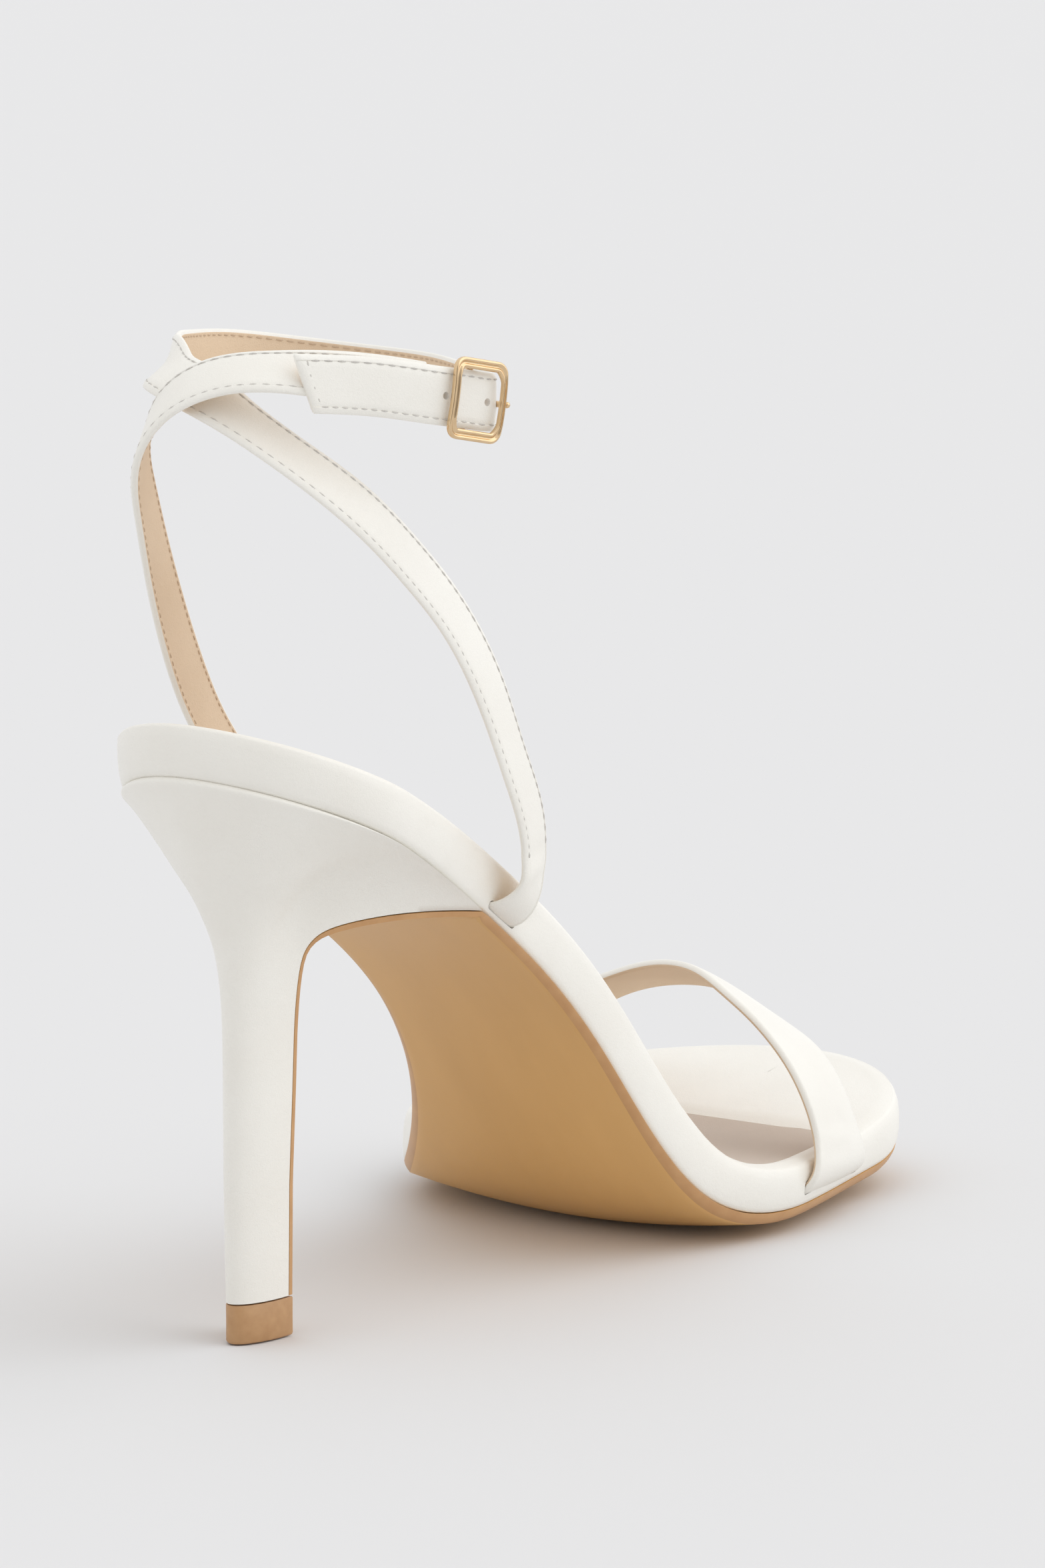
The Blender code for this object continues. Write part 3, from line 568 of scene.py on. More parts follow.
def boolean(target, tool, operation):
    """Applies an exact Boolean and removes the tool."""
    modifier = target.modifiers.new("cut", "BOOLEAN")
    modifier.operation = operation
    modifier.solver = "EXACT"
    modifier.object = tool
    graph = bpy.context.evaluated_depsgraph_get()
    data = bpy.data.meshes.new_from_object(target.evaluated_get(graph))
    target.modifiers.remove(modifier)
    drop_flakes(data)
    target.data = data
    bpy.data.objects.remove(tool)


def drop_flakes(data):
    """Removes flat leftovers of a Boolean: faces that lie back to back on the same corners."""
    mesh = bmesh.new()
    mesh.from_mesh(data)
    bmesh.ops.remove_doubles(mesh, verts=mesh.verts, dist=2e-6)
    bmesh.ops.triangulate(mesh, faces=mesh.faces, quad_method="BEAUTY", ngon_method="BEAUTY")
    by_corners = {}
    for face in mesh.faces:
        by_corners.setdefault(frozenset(vertex.index for vertex in face.verts), []).append(face)
    flakes = [face for same in by_corners.values() if len(same) > 1 for face in same]
    bmesh.ops.delete(mesh, geom=flakes, context="FACES")
    mesh.to_mesh(data)
    mesh.free()


def creased(points, creases):
    """Points pushed by soft troughs and ridges: each crease is a start, an end, a push, a width."""
    points = np.array(points, float)
    shape = points.shape
    flat = points.reshape(-1, 3)
    for start, end, push, width in creases:
        start, end, push = np.array(start), np.array(end), np.array(push)
        line = end - start
        t = np.clip(((flat - start) @ line) / (line @ line), 0.0, 1.0)
        away = np.linalg.norm(flat - (start + t[:, None] * line), axis=1)
        fade = np.exp(-((away / width) ** 2)) * (1.0 - 0.6 * (2 * t - 1) ** 2)
        flat = flat + fade[:, None] * push
    return flat.reshape(shape)


def strap_route(text):
    """Lengths at a strap's points, and its centre line and outer side's direction by length."""
    rows = table(text)
    points = columns(rows, "x y z")
    along = lengths_along(points)
    return along, spline(along, points), spline(along, columns(rows, "nx ny nz"))


def strap_frames(route, face, at):
    """Points, directions along, outward normals and directions across at lengths of the strap."""
    at = np.asarray(at, float)
    along = unit(route(at + NEARBY) - route(at - NEARBY))
    outward = face(at)
    outward = unit(outward - along * (outward * along).sum(axis=-1, keepdims=True))
    return route(at), along, outward, np.cross(along, outward)


def ribbon_section(width, thickness):
    """A strap's section: folded rims, stitched grooves and a low crown outside, lining flat inside.

    Gives (across, outward) pairs and, for the strip after each, 0 for leather or 1 for lining.
    """
    edge, top = width / 2, thickness / 2
    outer = [
        (0.42, top - 0.20),
        (0.72, top - 0.03),
        (0.92, top - 0.01),
        (STITCH_INSET, top - 0.15),
        (STITCH_INSET + 0.32, top - 0.02),
        (STITCH_INSET + 1.0, top + 0.03),
    ]
    rim = [(0.16, top * 0.45), (0.03, 0.08), (0.05, -top * 0.35), (0.22, -top * 0.72), (0.45, -top + 0.08)]
    inner = [(0.55, -top), (0.75, -top - 0.05)]
    inner += [(STITCH_INSET, -top + 0.04), (STITCH_INSET + 0.6, -top - 0.03)]
    section = [(-edge + a, h) for a, h in outer] + [(0.0, top + 0.05)]
    section += [(edge - a, h) for a, h in reversed(outer)]
    section += [(edge - a, h) for a, h in rim]
    leather_count = len(section)
    section += [(edge - a, h) for a, h in inner] + [(0.0, -top - 0.03)]
    section += [(-edge + a, h) for a, h in reversed(inner)]
    lining_count = len(section) - leather_count
    section += [(-edge + a, h) for a, h in reversed(rim)]
    strips = [0] * leather_count + [1] * (lining_count - 1) + [0] * (len(rim) + 1)
    return np.array(section), strips


def strap_slant(total, at, across):
    """How far a point near the slanted tip is shifted along the strap."""
    return TIP_SLANT * (across / STRAP_WIDTH) * smooth(total - 14.0, total, at)


def bend_trimmed(total, at, across):
    """Offsets across the outer strap, drawn in where its edges turn behind the ankle."""
    bend = np.interp(HEEL_BEND_AT, np.arange(len(total)), total)
    near = np.exp(-(((at - bend) / HEEL_BEND_REACH) ** 2))
    low, high = HEEL_BEND_TRIM
    return across * (1.0 - near * np.where(across < 0.0, low, high))


def strap_rings(text, slanted=False, shorter=0.0):
    """Rings of a detailed strap, its ends drawn in a little, and the side strips' materials."""
    total, route, face = strap_route(text)
    stop = total[-1] - shorter
    at = np.linspace(0.0, stop, int(stop) + 1)
    at = np.concatenate([[-0.15], at, [stop + 0.12, stop + 0.2]])
    section, strips = ribbon_section(STRAP_WIDTH, STRAP_THICKNESS)
    drawn_in = {0: (0.93, 0.6), len(at) - 2: (0.98, 0.86), len(at) - 1: (0.93, 0.6)}
    rings = []
    point, along, outward, across = strap_frames(route, face, at)
    for k, length in enumerate(at):
        shape = section.copy()
        if slanted:
            shape[:, 0] = bend_trimmed(total, length, shape[:, 0])
        shape = shape * drawn_in.get(k, (1.0, 1.0))
        ring = point[k] + shape[:, :1] * across[k] + shape[:, 1:] * outward[k]
        if slanted:
            ring = ring + strap_slant(total[-1], length, shape[:, 0])[:, None] * along[k]
        rings.append(ring)
    return rings, strips


# Soft folds where the outer strap turns in under the footbed, and where the toe strap does
STRAP_CREASES = [
    ((36.0, -27.5, 67.5), (42.0, -27.0, 69.5), (0.0, 0.35, 0.1), 1.1),
    ((35.0, -28.0, 70.0), (43.0, -28.0, 72.5), (0.0, -0.22, 0.0), 1.0),
    ((34.5, -28.5, 73.5), (40.5, -28.5, 74.6), (0.0, 0.25, 0.0), 1.0),
    ((33.0, 21.0, 69.0), (42.0, 21.0, 70.5), (0.0, -0.3, 0.1), 1.2),
    ((33.0, 22.5, 73.5), (40.0, 22.5, 74.8), (0.0, 0.2, 0.0), 1.1),
]
TOE_CREASES = [
    ((120.5, -33.0, 12.5), (137.0, -30.0, 10.6), (0.1, 0.35, 0.0), 1.0),
    ((121.0, -32.5, 15.6), (131.0, -31.2, 13.6), (0.0, -0.25, 0.1), 1.1),
    ((136.0, -29.0, 13.0), (129.0, -31.0, 17.5), (0.0, 0.28, 0.0), 1.0),
    ((141.0, 52.0, 11.0), (157.0, 48.0, 11.4), (0.0, -0.35, 0.0), 1.1),
    ((142.0, 51.0, 15.0), (151.0, 49.6, 13.4), (0.0, 0.22, 0.0), 1.1),
]
# Small puckers in the footbed's wrap where the straps turn in under it
FOOTBED_CREASES = [
    ((33.0, -23.5, 66.0), (33.0, -23.8, 71.5), (0.0, 0.45, 0.0), 0.9),
    ((44.5, -22.6, 59.5), (43.5, -23.2, 65.0), (0.0, 0.5, 0.0), 0.9),
    ((47.5, -22.4, 58.5), (46.0, -22.8, 63.0), (0.0, 0.25, 0.0), 0.8),
    ((116.0, -32.5, 7.0), (116.5, -32.8, 12.5), (0.0, 0.5, 0.0), 0.9),
    ((142.0, -29.5, 7.6), (140.5, -30.0, 12.5), (-0.1, 0.5, 0.0), 0.9),
    ((160.0, 45.5, 8.5), (158.8, 46.5, 13.0), (0.0, -0.5, 0.0), 0.9),
    ((137.5, 52.0, 7.0), (138.2, 52.2, 12.5), (0.0, -0.5, 0.0), 0.9),
]


def add_straps():
    """Both ankle straps, the buckle's tab, and the holes in the closing strap."""
    rings, strips = strap_rings(OUTER_STRAP, slanted=True, shorter=TIP_SHORTER)
    outer = loft("outer_ankle_strap", creased(rings, STRAP_CREASES), [WHITE, LINING, HOLE], strips)
    rings, strips = strap_rings(INNER_STRAP)
    inner = loft("inner_ankle_strap", creased(rings, STRAP_CREASES), [WHITE, LINING], strips)
    centre, forward, out, _ = buckle_frame()
    for place in SPARE_HOLES:
        middle = centre + forward * place
        punch = wire("punch", [middle - out * 2.0, middle + out * 2.0], HOLE_RADIUS, 20, HOLE, None)
        boolean(outer, punch, "DIFFERENCE")
    boolean(outer, wire("punch", prong_points(), PRONG_WIRE + 0.25, 16, HOLE, None), "DIFFERENCE")
    outer.data.set_sharp_from_angle(angle=math.radians(50.0))
    tab = add_buckle_tab()
    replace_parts(outer, "ankle_straps")
    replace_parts(inner, "ankle_straps")
    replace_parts(tab, "ankle_straps")


def buckle_frame():
    """Centre, direction forward, outward and across for the buckle, on the closing strap's line."""
    total, route, face = strap_route(OUTER_STRAP)
    lengths = np.linspace(total[-6], total[-1], 400)
    at = lengths[np.argmin(np.abs(route(lengths)[:, 0] - BUCKLE_AT))]
    point, along, outward, across = strap_frames(route, face, at)
    return point, -along, outward, across


def bar_depth():
    """How far the buckle's middle bar lies inside the closing strap's centre line."""
    return STRAP_THICKNESS / 2 + BAR_CLEARANCE + CENTRE_BAR_WIRE


def add_buckle_tab():
    """Narrow end of the inner strap, folded round the buckle's middle bar."""
    total, route, face = strap_route(INNER_STRAP)
    start, _, outward, across = strap_frames(route, face, total[-1] - 3.0)
    centre, forward, out, up = buckle_frame()
    bar = centre - out * bar_depth()
    wrap = CENTRE_BAR_WIRE + 0.9
    end = bar + forward * 0.2 - out * wrap
    rings = []
    for t in np.linspace(0.0, 1.0, 24):
        s = float(smooth(0.0, 1.0, t))
        point = start * (1 - t) + end * t - out * 0.5 * math.sin(math.pi * t)
        normal = unit(outward * (1 - s) + out * s)
        side = unit(across * (1 - s) + up * math.copysign(1.0, up.dot(across)) * s)
        wide = (STRAP_WIDTH - 0.8) * (1 - s) + TAB_WIDTH * s
        thick = STRAP_THICKNESS * (1 - s) + TAB_THICKNESS * s
        section, strips = ribbon_section(wide, thick)
        rings.append(point + section[:, :1] * side + section[:, 1:] * normal)
    return loft("buckle_tab", rings, [WHITE, LINING], strips)


def round_section(count):
    """Points of a unit circle."""
    turn = np.linspace(0.0, 2 * math.pi, count, endpoint=False)
    return np.column_stack([np.cos(turn), np.sin(turn)])


def wire(name, points, radius, sides, material, slot="metal", ends=False):
    """A round wire along points; ends rounds its two ends."""
    points = np.asarray(points, float)
    scale = np.ones(len(points))
    if ends:
        first = points[0] - points[1]
        last = points[-1] - points[-2]
        first *= radius / np.linalg.norm(first)
        last *= radius / np.linalg.norm(last)
        head = [points[0] + first * k for k in (0.9, 0.6)]
        tail = [points[-1] + last * k for k in (0.6, 0.9)]
        points = np.vstack([head, points, tail])
        scale = np.concatenate([[0.4, 0.8], scale, [0.8, 0.4]])
    along = unit(np.gradient(points, axis=0))
    side = np.cross(along[0], [0.3, 0.2, 0.93])
    circle = round_section(sides) * radius
    rings = []
    for point, direction, size in zip(points, along, scale):
        side = unit(side - direction * side.dot(direction))
        other = np.cross(direction, side)
        rings.append(point + size * (circle[:, :1] * side + circle[:, 1:] * other))
    return loft(name, rings, [material], slot=slot)


def prong_points(count=40):
    """The prong's line: from the middle bar under the strap, out through its hole to the front bar."""
    centre, forward, out, _ = buckle_frame()
    corners = np.array([centre + forward * a + out * b for a, b in PRONG_LINE])
    length = lengths_along(corners)
    return spline(length, corners)(np.linspace(0.0, length[-1], count))


def add_buckle():
    """Cast frame with grooved faces and tight corners, its middle bar under the strap, and the prong."""
    centre, forward, out, up = buckle_frame()
    over = STRAP_THICKNESS / 2 + BAR_CLEARANCE + BAR_DEEP / 2
    length = BUCKLE_LENGTH - BAR_WIDE
    height = BUCKLE_HEIGHT - BAR_WIDE
    path = []
    for quarter, (sx, sy) in enumerate(((1, 1), (-1, 1), (-1, -1), (1, -1))):
        for k in range(9):
            turn = math.pi / 2 * (quarter + k / 8)
            x = sx * (length / 2 - BUCKLE_CORNER) + BUCKLE_CORNER * math.cos(turn)
            y = sy * (height / 2 - BUCKLE_CORNER) + BUCKLE_CORNER * math.sin(turn)
            path.append((x, y))
    path = resample(np.array(path), 0.3)
    bow = 0.35 * (1.0 - (2.0 * path[:, 1] / height) ** 2)
    on_end = 1.0 - smooth(0.55, 0.95, np.abs(path[:, 1]) * 2.0 / height)
    thin = np.where(path[:, 0] > 0.0, FRONT_BAR_WIDE, REAR_BAR_WIDE)
    bar = BAR_WIDE + (thin - BAR_WIDE) * on_end * smooth(0.6, 0.95, np.abs(path[:, 0]) * 2.0 / length)
    path[:, 0] += (BAR_WIDE - bar) / 2 * np.sign(path[:, 0])
    spot = centre + path[:, :1] * forward + path[:, 1:] * up + (over + bow)[:, None] * out
    aside = unit(np.cross(unit(np.roll(spot, -1, axis=0) - np.roll(spot, 1, axis=0)), out))
    cosine, sine = round_section(48).T
    wide = np.sign(cosine) * np.abs(cosine) ** 0.8 / 2
    deep = np.sign(sine) * np.abs(sine) ** 0.6 * BAR_DEEP / 2
    deep = deep - BAR_GROOVE * np.exp(-((wide / 0.16) ** 2)) * (sine > 0.0)
    rings = spot[:, None, :] + (bar[:, None] * wide)[..., None] * aside[:, None, :]
    rings = rings + deep[None, :, None] * out
    faces = tube_faces(len(rings), len(wide), closed=True).tolist()
    frame_piece = make("buckle_frame", rings.reshape(-1, 3), faces, [GOLD], slot="metal")
    reach = height / 2
    deep = -bar_depth()
    ends = [(1.0, over), (1.0, over - 1.2), (0.94, deep + 0.6), (0.82, deep)]
    bar = [centre + up * reach * a + out * b for a, b in ends]
    bar += [centre - up * reach * a + out * b for a, b in reversed(ends)]
    bar_piece = wire("buckle_bar", resample(np.array(bar), 0.5, False), CENTRE_BAR_WIRE, 14, GOLD)
    prong = wire("prong_pin", prong_points(), PRONG_WIRE, 16, GOLD, ends=True)
    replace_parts(frame_piece, "buckle")
    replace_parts(bar_piece, "buckle")
    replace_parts(prong, "prong")


def resample(path, step, closed=True):
    """Even points along a broken line."""
    if closed:
        path = np.vstack([path, path[:1]])
    length = lengths_along(path)
    count = max(3, int(length[-1] / step) + 1)
    at = np.linspace(0.0, length[-1], count)
    even = np.column_stack([np.interp(at, length, column) for column in path.T])
    return even[:-1] if closed else even


def stitches(name, text, paths, depth, material, slanted=False):
    """A row of stitches on a strap: each path is a broken line of (length, across) on its face."""
    total, route, face = strap_route(text)
    share, sizes, rise = np.array(STITCH_SHAPE).T
    circle = round_section(7) * STITCH_RADIUS
    around = len(circle)
    points, faces = [], []
    height = depth + math.copysign(1.0, depth) * rise
    for path in paths:
        path = resample(np.asarray(path, float), STITCH_PITCH, False)
        for here, there in zip(path, path[1:]):
            run = (there - here) * STITCH_LENGTH / STITCH_PITCH
            at, across = (here + run * share[:, None]).T
            if slanted:
                across = bend_trimmed(total, at, across)
            point, along, outward, side = strap_frames(route, face, at)
            spot = point + side * across[:, None]
            if slanted:
                spot = spot + along * strap_slant(total[-1], at, across)[:, None]
            spot = spot + outward * height[:, None]
            aside = unit(np.cross(unit(np.gradient(spot, axis=0)), outward))
            base = len(points)
            for k, size in enumerate(sizes):
                ring = circle[:, :1] * aside[k] + circle[:, 1:] * outward[k] * 0.8
                points.extend(spot[k] + size * ring)
            faces += (tube_faces(len(sizes), around) + base).tolist()
            faces.append([base + k for k in range(around - 1, -1, -1)])
            faces.append([base + (len(sizes) - 1) * around + k for k in range(around)])
    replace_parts(make(name, np.array(points), faces, [material]), "ankle_straps")


def add_stitching():
    """Stitch rows along both edges of both ankle straps, on the leather and on the lining."""
    line = STRAP_WIDTH / 2 - STITCH_INSET
    top = STRAP_THICKNESS / 2 - 0.08
    outer_end = strap_route(OUTER_STRAP)[0][-1] - TIP_SHORTER - 1.2
    inner_end = strap_route(INNER_STRAP)[0][-1]
    outer_row = [[(22.0, line), (outer_end, line), (outer_end, -line), (22.0, -line)]]
    inner_rows = [[(21.0, line), (inner_end, line)], [(21.0, -line), (inner_end, -line)]]
    stitches("outer_strap_stitches", OUTER_STRAP, outer_row, top, THREAD, slanted=True)
    stitches("inner_strap_stitches", INNER_STRAP, inner_rows, top, THREAD)
    under = -STRAP_THICKNESS / 2
    stitches("outer_lining_stitches", OUTER_STRAP, outer_row, under, LINING_THREAD, slanted=True)
    stitches("inner_lining_stitches", INNER_STRAP, inner_rows, under, LINING_THREAD)


def toe_strap_frames(past, count):
    """Middle, direction across, outward normal and width along the toe strap and a bit past its ends."""
    rows = table(TOE_STRAP)
    back, front = columns(rows, "xb yb zb"), columns(rows, "xf yf zf")
    along = lengths_along((back + front) / 2)
    route = spline(along, np.hstack([back, front]))
    for at in np.linspace(-past, along[-1] + past, count):
        both = route(at)
        step = route(at + NEARBY) - route(at - NEARBY)
        across = both[3:] - both[:3]
        width = np.linalg.norm(across)
        across /= width
        yield (both[:3] + both[3:]) / 2, across, unit(np.cross(across, step[:3] + step[3:])), width


def add_toe_strap():
    """The band over the toes: smooth leather with folded rims and a lining that shows as a fine line."""
    top = TOE_STRAP_THICKNESS / 2
    rim = [(0.55, top - 0.02), (0.22, top * 0.75), (0.04, top * 0.25), (0.02, -top * 0.2)]
    rim += [(0.10, -top * 0.45), (0.16, -top * 0.5), (0.24, -top * 0.9), (0.6, -top)]
    crown, hollow = np.linspace(-0.86, 0.86, 13), np.linspace(0.8, -0.8, 9)
    rings = []
    for middle, across, outward, width in toe_strap_frames(0.0, 170):
        edge = width / 2
        section = [(-edge + a, h) for a, h in reversed(rim)]
        section += [(u * edge, top + 0.22 * (1 - u * u)) for u in crown]
        section += [(edge - a, h) for a, h in rim]
        section += [(u * edge, -top + 0.18 * (1 - u * u)) for u in hollow]
        section = np.array(section)
        rings.append(middle + section[:, :1] * across + section[:, 1:] * outward)
    lined_rim = 3
    leather_strips = 2 * (len(rim) - lined_rim) + len(crown)
    strips = [1] * lined_rim + [0] * leather_strips
    strips += [1] * (len(section) - len(strips))
    piece = loft("toe_band", creased(rings, TOE_CREASES), [WHITE, LINING], strips)
    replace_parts(piece, "toe_strap")


def slab(rings):
    """Points and faces of a plate that follows the sole's outline, from its underside round to its top.

    rings are functions of x that give an inset, a share of the footbed's thickness and a height.
    """
    first, last = SOLE_BACK + 0.02, SOLE_TOE - 0.02
    stations = first + (last - first) * (1.0 - np.cos(np.linspace(0.0, math.pi, 150))) / 2.0
    outer = np.stack([stations, outline_side(stations, -1)], axis=1)
    inner = np.stack([stations, outline_side(stations, 1)], axis=1)
    plan = np.vstack([outer, inner[-2:0:-1]])
    along = unit(np.roll(plan, -1, axis=0) - np.roll(plan, 1, axis=0))
    inward = np.stack([-along[:, 1], along[:, 0]], axis=1)
    points = []
    for ring in rings:
        inset, share, height = ring(plan[:, 0])
        spot = plan + inward * np.broadcast_to(inset, len(plan))[:, None]
        lift = share * padding(spot[:, 0], spot[:, 1]) + height
        points.append(above_plane(spot[:, 0], spot[:, 1], lift))
    rows, around = len(points), len(plan)
    faces = tube_faces(rows, around).tolist()
    for base in (0, (rows - 1) * around):
        for i in range(len(stations) - 1):
            cross = dict.fromkeys((i, i + 1, (around - i - 1) % around, (around - i) % around))
            faces.append([base + k for k in cross])
    return np.array(points), faces


def footbed_ring(seat, fore):
    """A ring of the footbed's side that changes from its seat shape to its forefoot shape."""

    def ring(x):
        share = smooth(50.0, 120.0, x)
        shape = [a + (b - a) * share for a, b in zip(seat, fore)]
        on_top = np.where((np.asarray(shape[1]) > 0.97) & (shape[0] > 2.0), 1.0, 0.0)
        ahead = smooth(SOCK_FRONT - 1.5, SOCK_FRONT + 6.0, x) * on_top
        crown = 0.2 + 0.35 * smooth(2.0, 14.0, shape[0])
        return shape[0], shape[1], shape[2] * (1 - ahead) + crown * ahead

    return ring


def add_footbed():
    """Padded board wrapped in leather: crisp at the seat, with a full round rim at the forefoot."""
    side = table(FOOTBED_SIDE)
    seat, fore = columns(side, "inset_s share_s height_s"), columns(side, "inset_f share_f height_f")
    points, faces = slab([footbed_ring(a, b) for a, b in zip(seat, fore)])
    points = creased(points, FOOTBED_CREASES)
    piece = make("footbed_wrap", points.reshape(-1, 3), faces, [WHITE])
    for text in (OUTER_STRAP, INNER_STRAP):
        boolean(piece, strap_cutter(text), "DIFFERENCE")
    boolean(piece, toe_cutter(), "DIFFERENCE")
    piece.data.set_sharp_from_angle(angle=math.radians(55.0))
    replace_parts(piece, "footbed")


def strap_cutter(text):
    """Room for a strap's foot under the footbed's edge."""
    _, route, face = strap_route(text)
    point, _, outward, across = strap_frames(route, face, np.linspace(-0.6, 30.0, 34))
    corners = round_box(STRAP_WIDTH / 2 + POCKET_WIDER, STRAP_THICKNESS / 2 + POCKET_DEEPER, 0.6)
    rings = point[:, None] + corners[None, :, :1] * across[:, None] + corners[None, :, 1:] * outward[:, None]
    return loft("cutter", rings, [WHITE], slot=None)


def toe_cutter():
    """Room for the toe strap's ends under the footbed's edge."""
    rings = []
    for middle, across, outward, width in toe_strap_frames(0.6, 110):
        corners = round_box(width / 2 + POCKET_WIDER, TOE_STRAP_THICKNESS / 2 + POCKET_DEEPER, 0.5)
        rings.append(middle + corners[:, :1] * across + corners[:, 1:] * outward)
    return loft("cutter", rings, [WHITE], slot=None)


def round_box(wide, deep, radius):
    """A rectangle with round corners as (across, outward) pairs."""
    points = []
    for quarter, (sx, sy) in enumerate(((1, 1), (-1, 1), (-1, -1), (1, -1))):
        for k in range(4):
            turn = math.pi / 2 * (quarter + k / 3)
            x = sx * (wide - radius) + radius * math.cos(turn)
            points.append((x, sy * (deep - radius) + radius * math.sin(turn)))
    return np.array(points)


def add_sock():
    """Thin leather sock with a soft cut edge and a gently curved front."""
    edge = ((12.0, SOCK_UNDER), (0.1, SOCK_UNDER), (0.0, -0.5), (0.05, -0.3), (0.35, -0.17), (1.2, -0.17))
    shape = [(inset if inset > 10.0 else SOCK_INSET + inset, height) for inset, height in edge]
    shape.append((12.0, SOCK_UNDER + SOCK_THICKNESS))
    points, faces = slab([lambda x, row=row: (np.full_like(x, row[0]), 1.0, row[1]) for row in shape])
    piece = make("sock", points.reshape(-1, 3), faces, [SOCK], slot="sock")
    turns = np.linspace(-1.4, 1.4, 25)
    front = [(SOCK_FRONT - 6.0 + 7.5 * math.cos(t) ** 0.8, 6.0 + 52.0 * math.sin(t)) for t in turns]
    outline = [(-60.0, -60.0)] + front + [(-60.0, 80.0)]
    rings = np.array([[(x, y, z) for x, y in outline] for z in (-20.0, 140.0)])
    boolean(piece, loft("cutter", rings, [SOCK], slot=None), "INTERSECT")
    piece.data.set_sharp_from_angle(angle=math.radians(50.0))
    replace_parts(piece, "insole")


def stem_level(z, angle):
    """Plan points of the heel's stem at a height: flat in front and round at the back."""
    level = {name: np.interp(z, stem_table["z"], stem_table[name]) for name in stem_table}
    x = level["front"] - (level["front"] - level["back"]) * np.sin(angle)
    return x, level["centre"] - level["half"] * np.cos(angle)


def heel_shell(count, levels):
    """Levels of the heel from the top piece to the seat, each from its outer front corner round the back."""
    angle = np.linspace(0.0, math.pi, count)
    rings = []
    for z in np.linspace(TOP_PIECE_HEIGHT + 0.25, 40.0, 16):
        x, y = stem_level(z, angle)
        rings.append(np.column_stack([x, y, np.full(count, z)]))
    corner = np.where(angle < math.pi / 2, HEEL_CORNER_OUTER, HEEL_CORNER_INNER)
    seat_x = corner + (SOLE_BACK - corner) * np.sin(angle)
    seat_y = np.where(angle < math.pi / 2, outline_side(seat_x, -1), outline_side(seat_x, 1))
    seat_z = plane_height(seat_x, seat_y) - SEAM
    near_edge = np.abs(np.cos(angle)) ** 4
    flare = np.column_stack(list(table(FLARE).values()))
    rows = spline(np.arange(len(flare)), flare)(np.linspace(0.0, len(flare) - 1.0, levels))
    for edge_rise, edge_out, back_rise, back_out in rows:
        rise = back_rise + (edge_rise - back_rise) * near_edge
        out = np.maximum(back_out + (edge_out - back_out) * near_edge, 0.0)
        z = FLARE_FOOT + rise * (seat_z - FLARE_FOOT)
        stem = np.array([stem_level(height, turn) for height, turn in zip(z, angle)])
        x = stem[:, 0] + out ** (1.0 + 0.3 * near_edge) * (seat_x - stem[:, 0])
        y = stem[:, 1] + out * (seat_y - stem[:, 1])
        rings.append(np.column_stack([x, y, z]))
    return rings


def across_line(start, end, count):
    """Even points from start to end."""
    t = np.linspace(0.0, 1.0, count)[:, None]
    return start * (1.0 - t) + end * t


def add_heel():
    """Leather-wrapped heel: slim stem that opens into the cup under the seat."""
    count, across = 81, 13
    rings = []
    for ring in heel_shell(count, 61):
        front = across_line(ring[-1], ring[0], across)[1:-1]
        rings.append(np.vstack([ring, front]))
    rings = np.array(rings)
    rows, around = rings.shape[:2]
    faces = tube_faces(rows, around).tolist()
    faces.append(list(range(around - 1, -1, -1)))
    base = (rows - 1) * around
    last = count - 1
    faces.append([base, base + 1, base + last - 1] + [base + k for k in range(last, around)])
    for i in range(1, last // 2):
        cross = dict.fromkeys((i, i + 1, last - i - 1, last - i))
        faces.append([base + k for k in cross])
    piece = make("heel_cover", rings.reshape(-1, 3), faces, [WHITE])
    piece.data.set_sharp_from_angle(angle=math.radians(60.0))
    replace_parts(piece, "heel")


def add_top_piece():
    """Wearing piece: hard plastic with softened edges and a flat wear face."""
    angle = np.linspace(0.0, math.pi, 49)
    x, y = stem_level(TOP_PIECE_HEIGHT, angle)
    plan = np.vstack([[TOP_PIECE_FRONT, y[0]], np.column_stack([x, y]), [TOP_PIECE_FRONT, y[-1]]])
    middle = plan.mean(axis=0)
    radius = np.linalg.norm(plan - middle, axis=1)[:, None]
    rings = []
    levels = ((0.0, 0.7), (0.02, 0.38), (0.14, 0.14), (0.4, 0.0), (3.0, 0.02), (5.95, 0.0), (6.12, 0.14))
    for z, shrink in levels:
        points = middle + (plan - middle) * (radius - shrink) / radius
        rings.append(np.column_stack([points, np.full(len(points), z)]))
    piece = loft("wearing_piece", rings, [TOP_PIECE], slot="top_piece")
    piece.data.set_sharp_from_angle(angle=math.radians(50.0))
    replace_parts(piece, "top_piece")


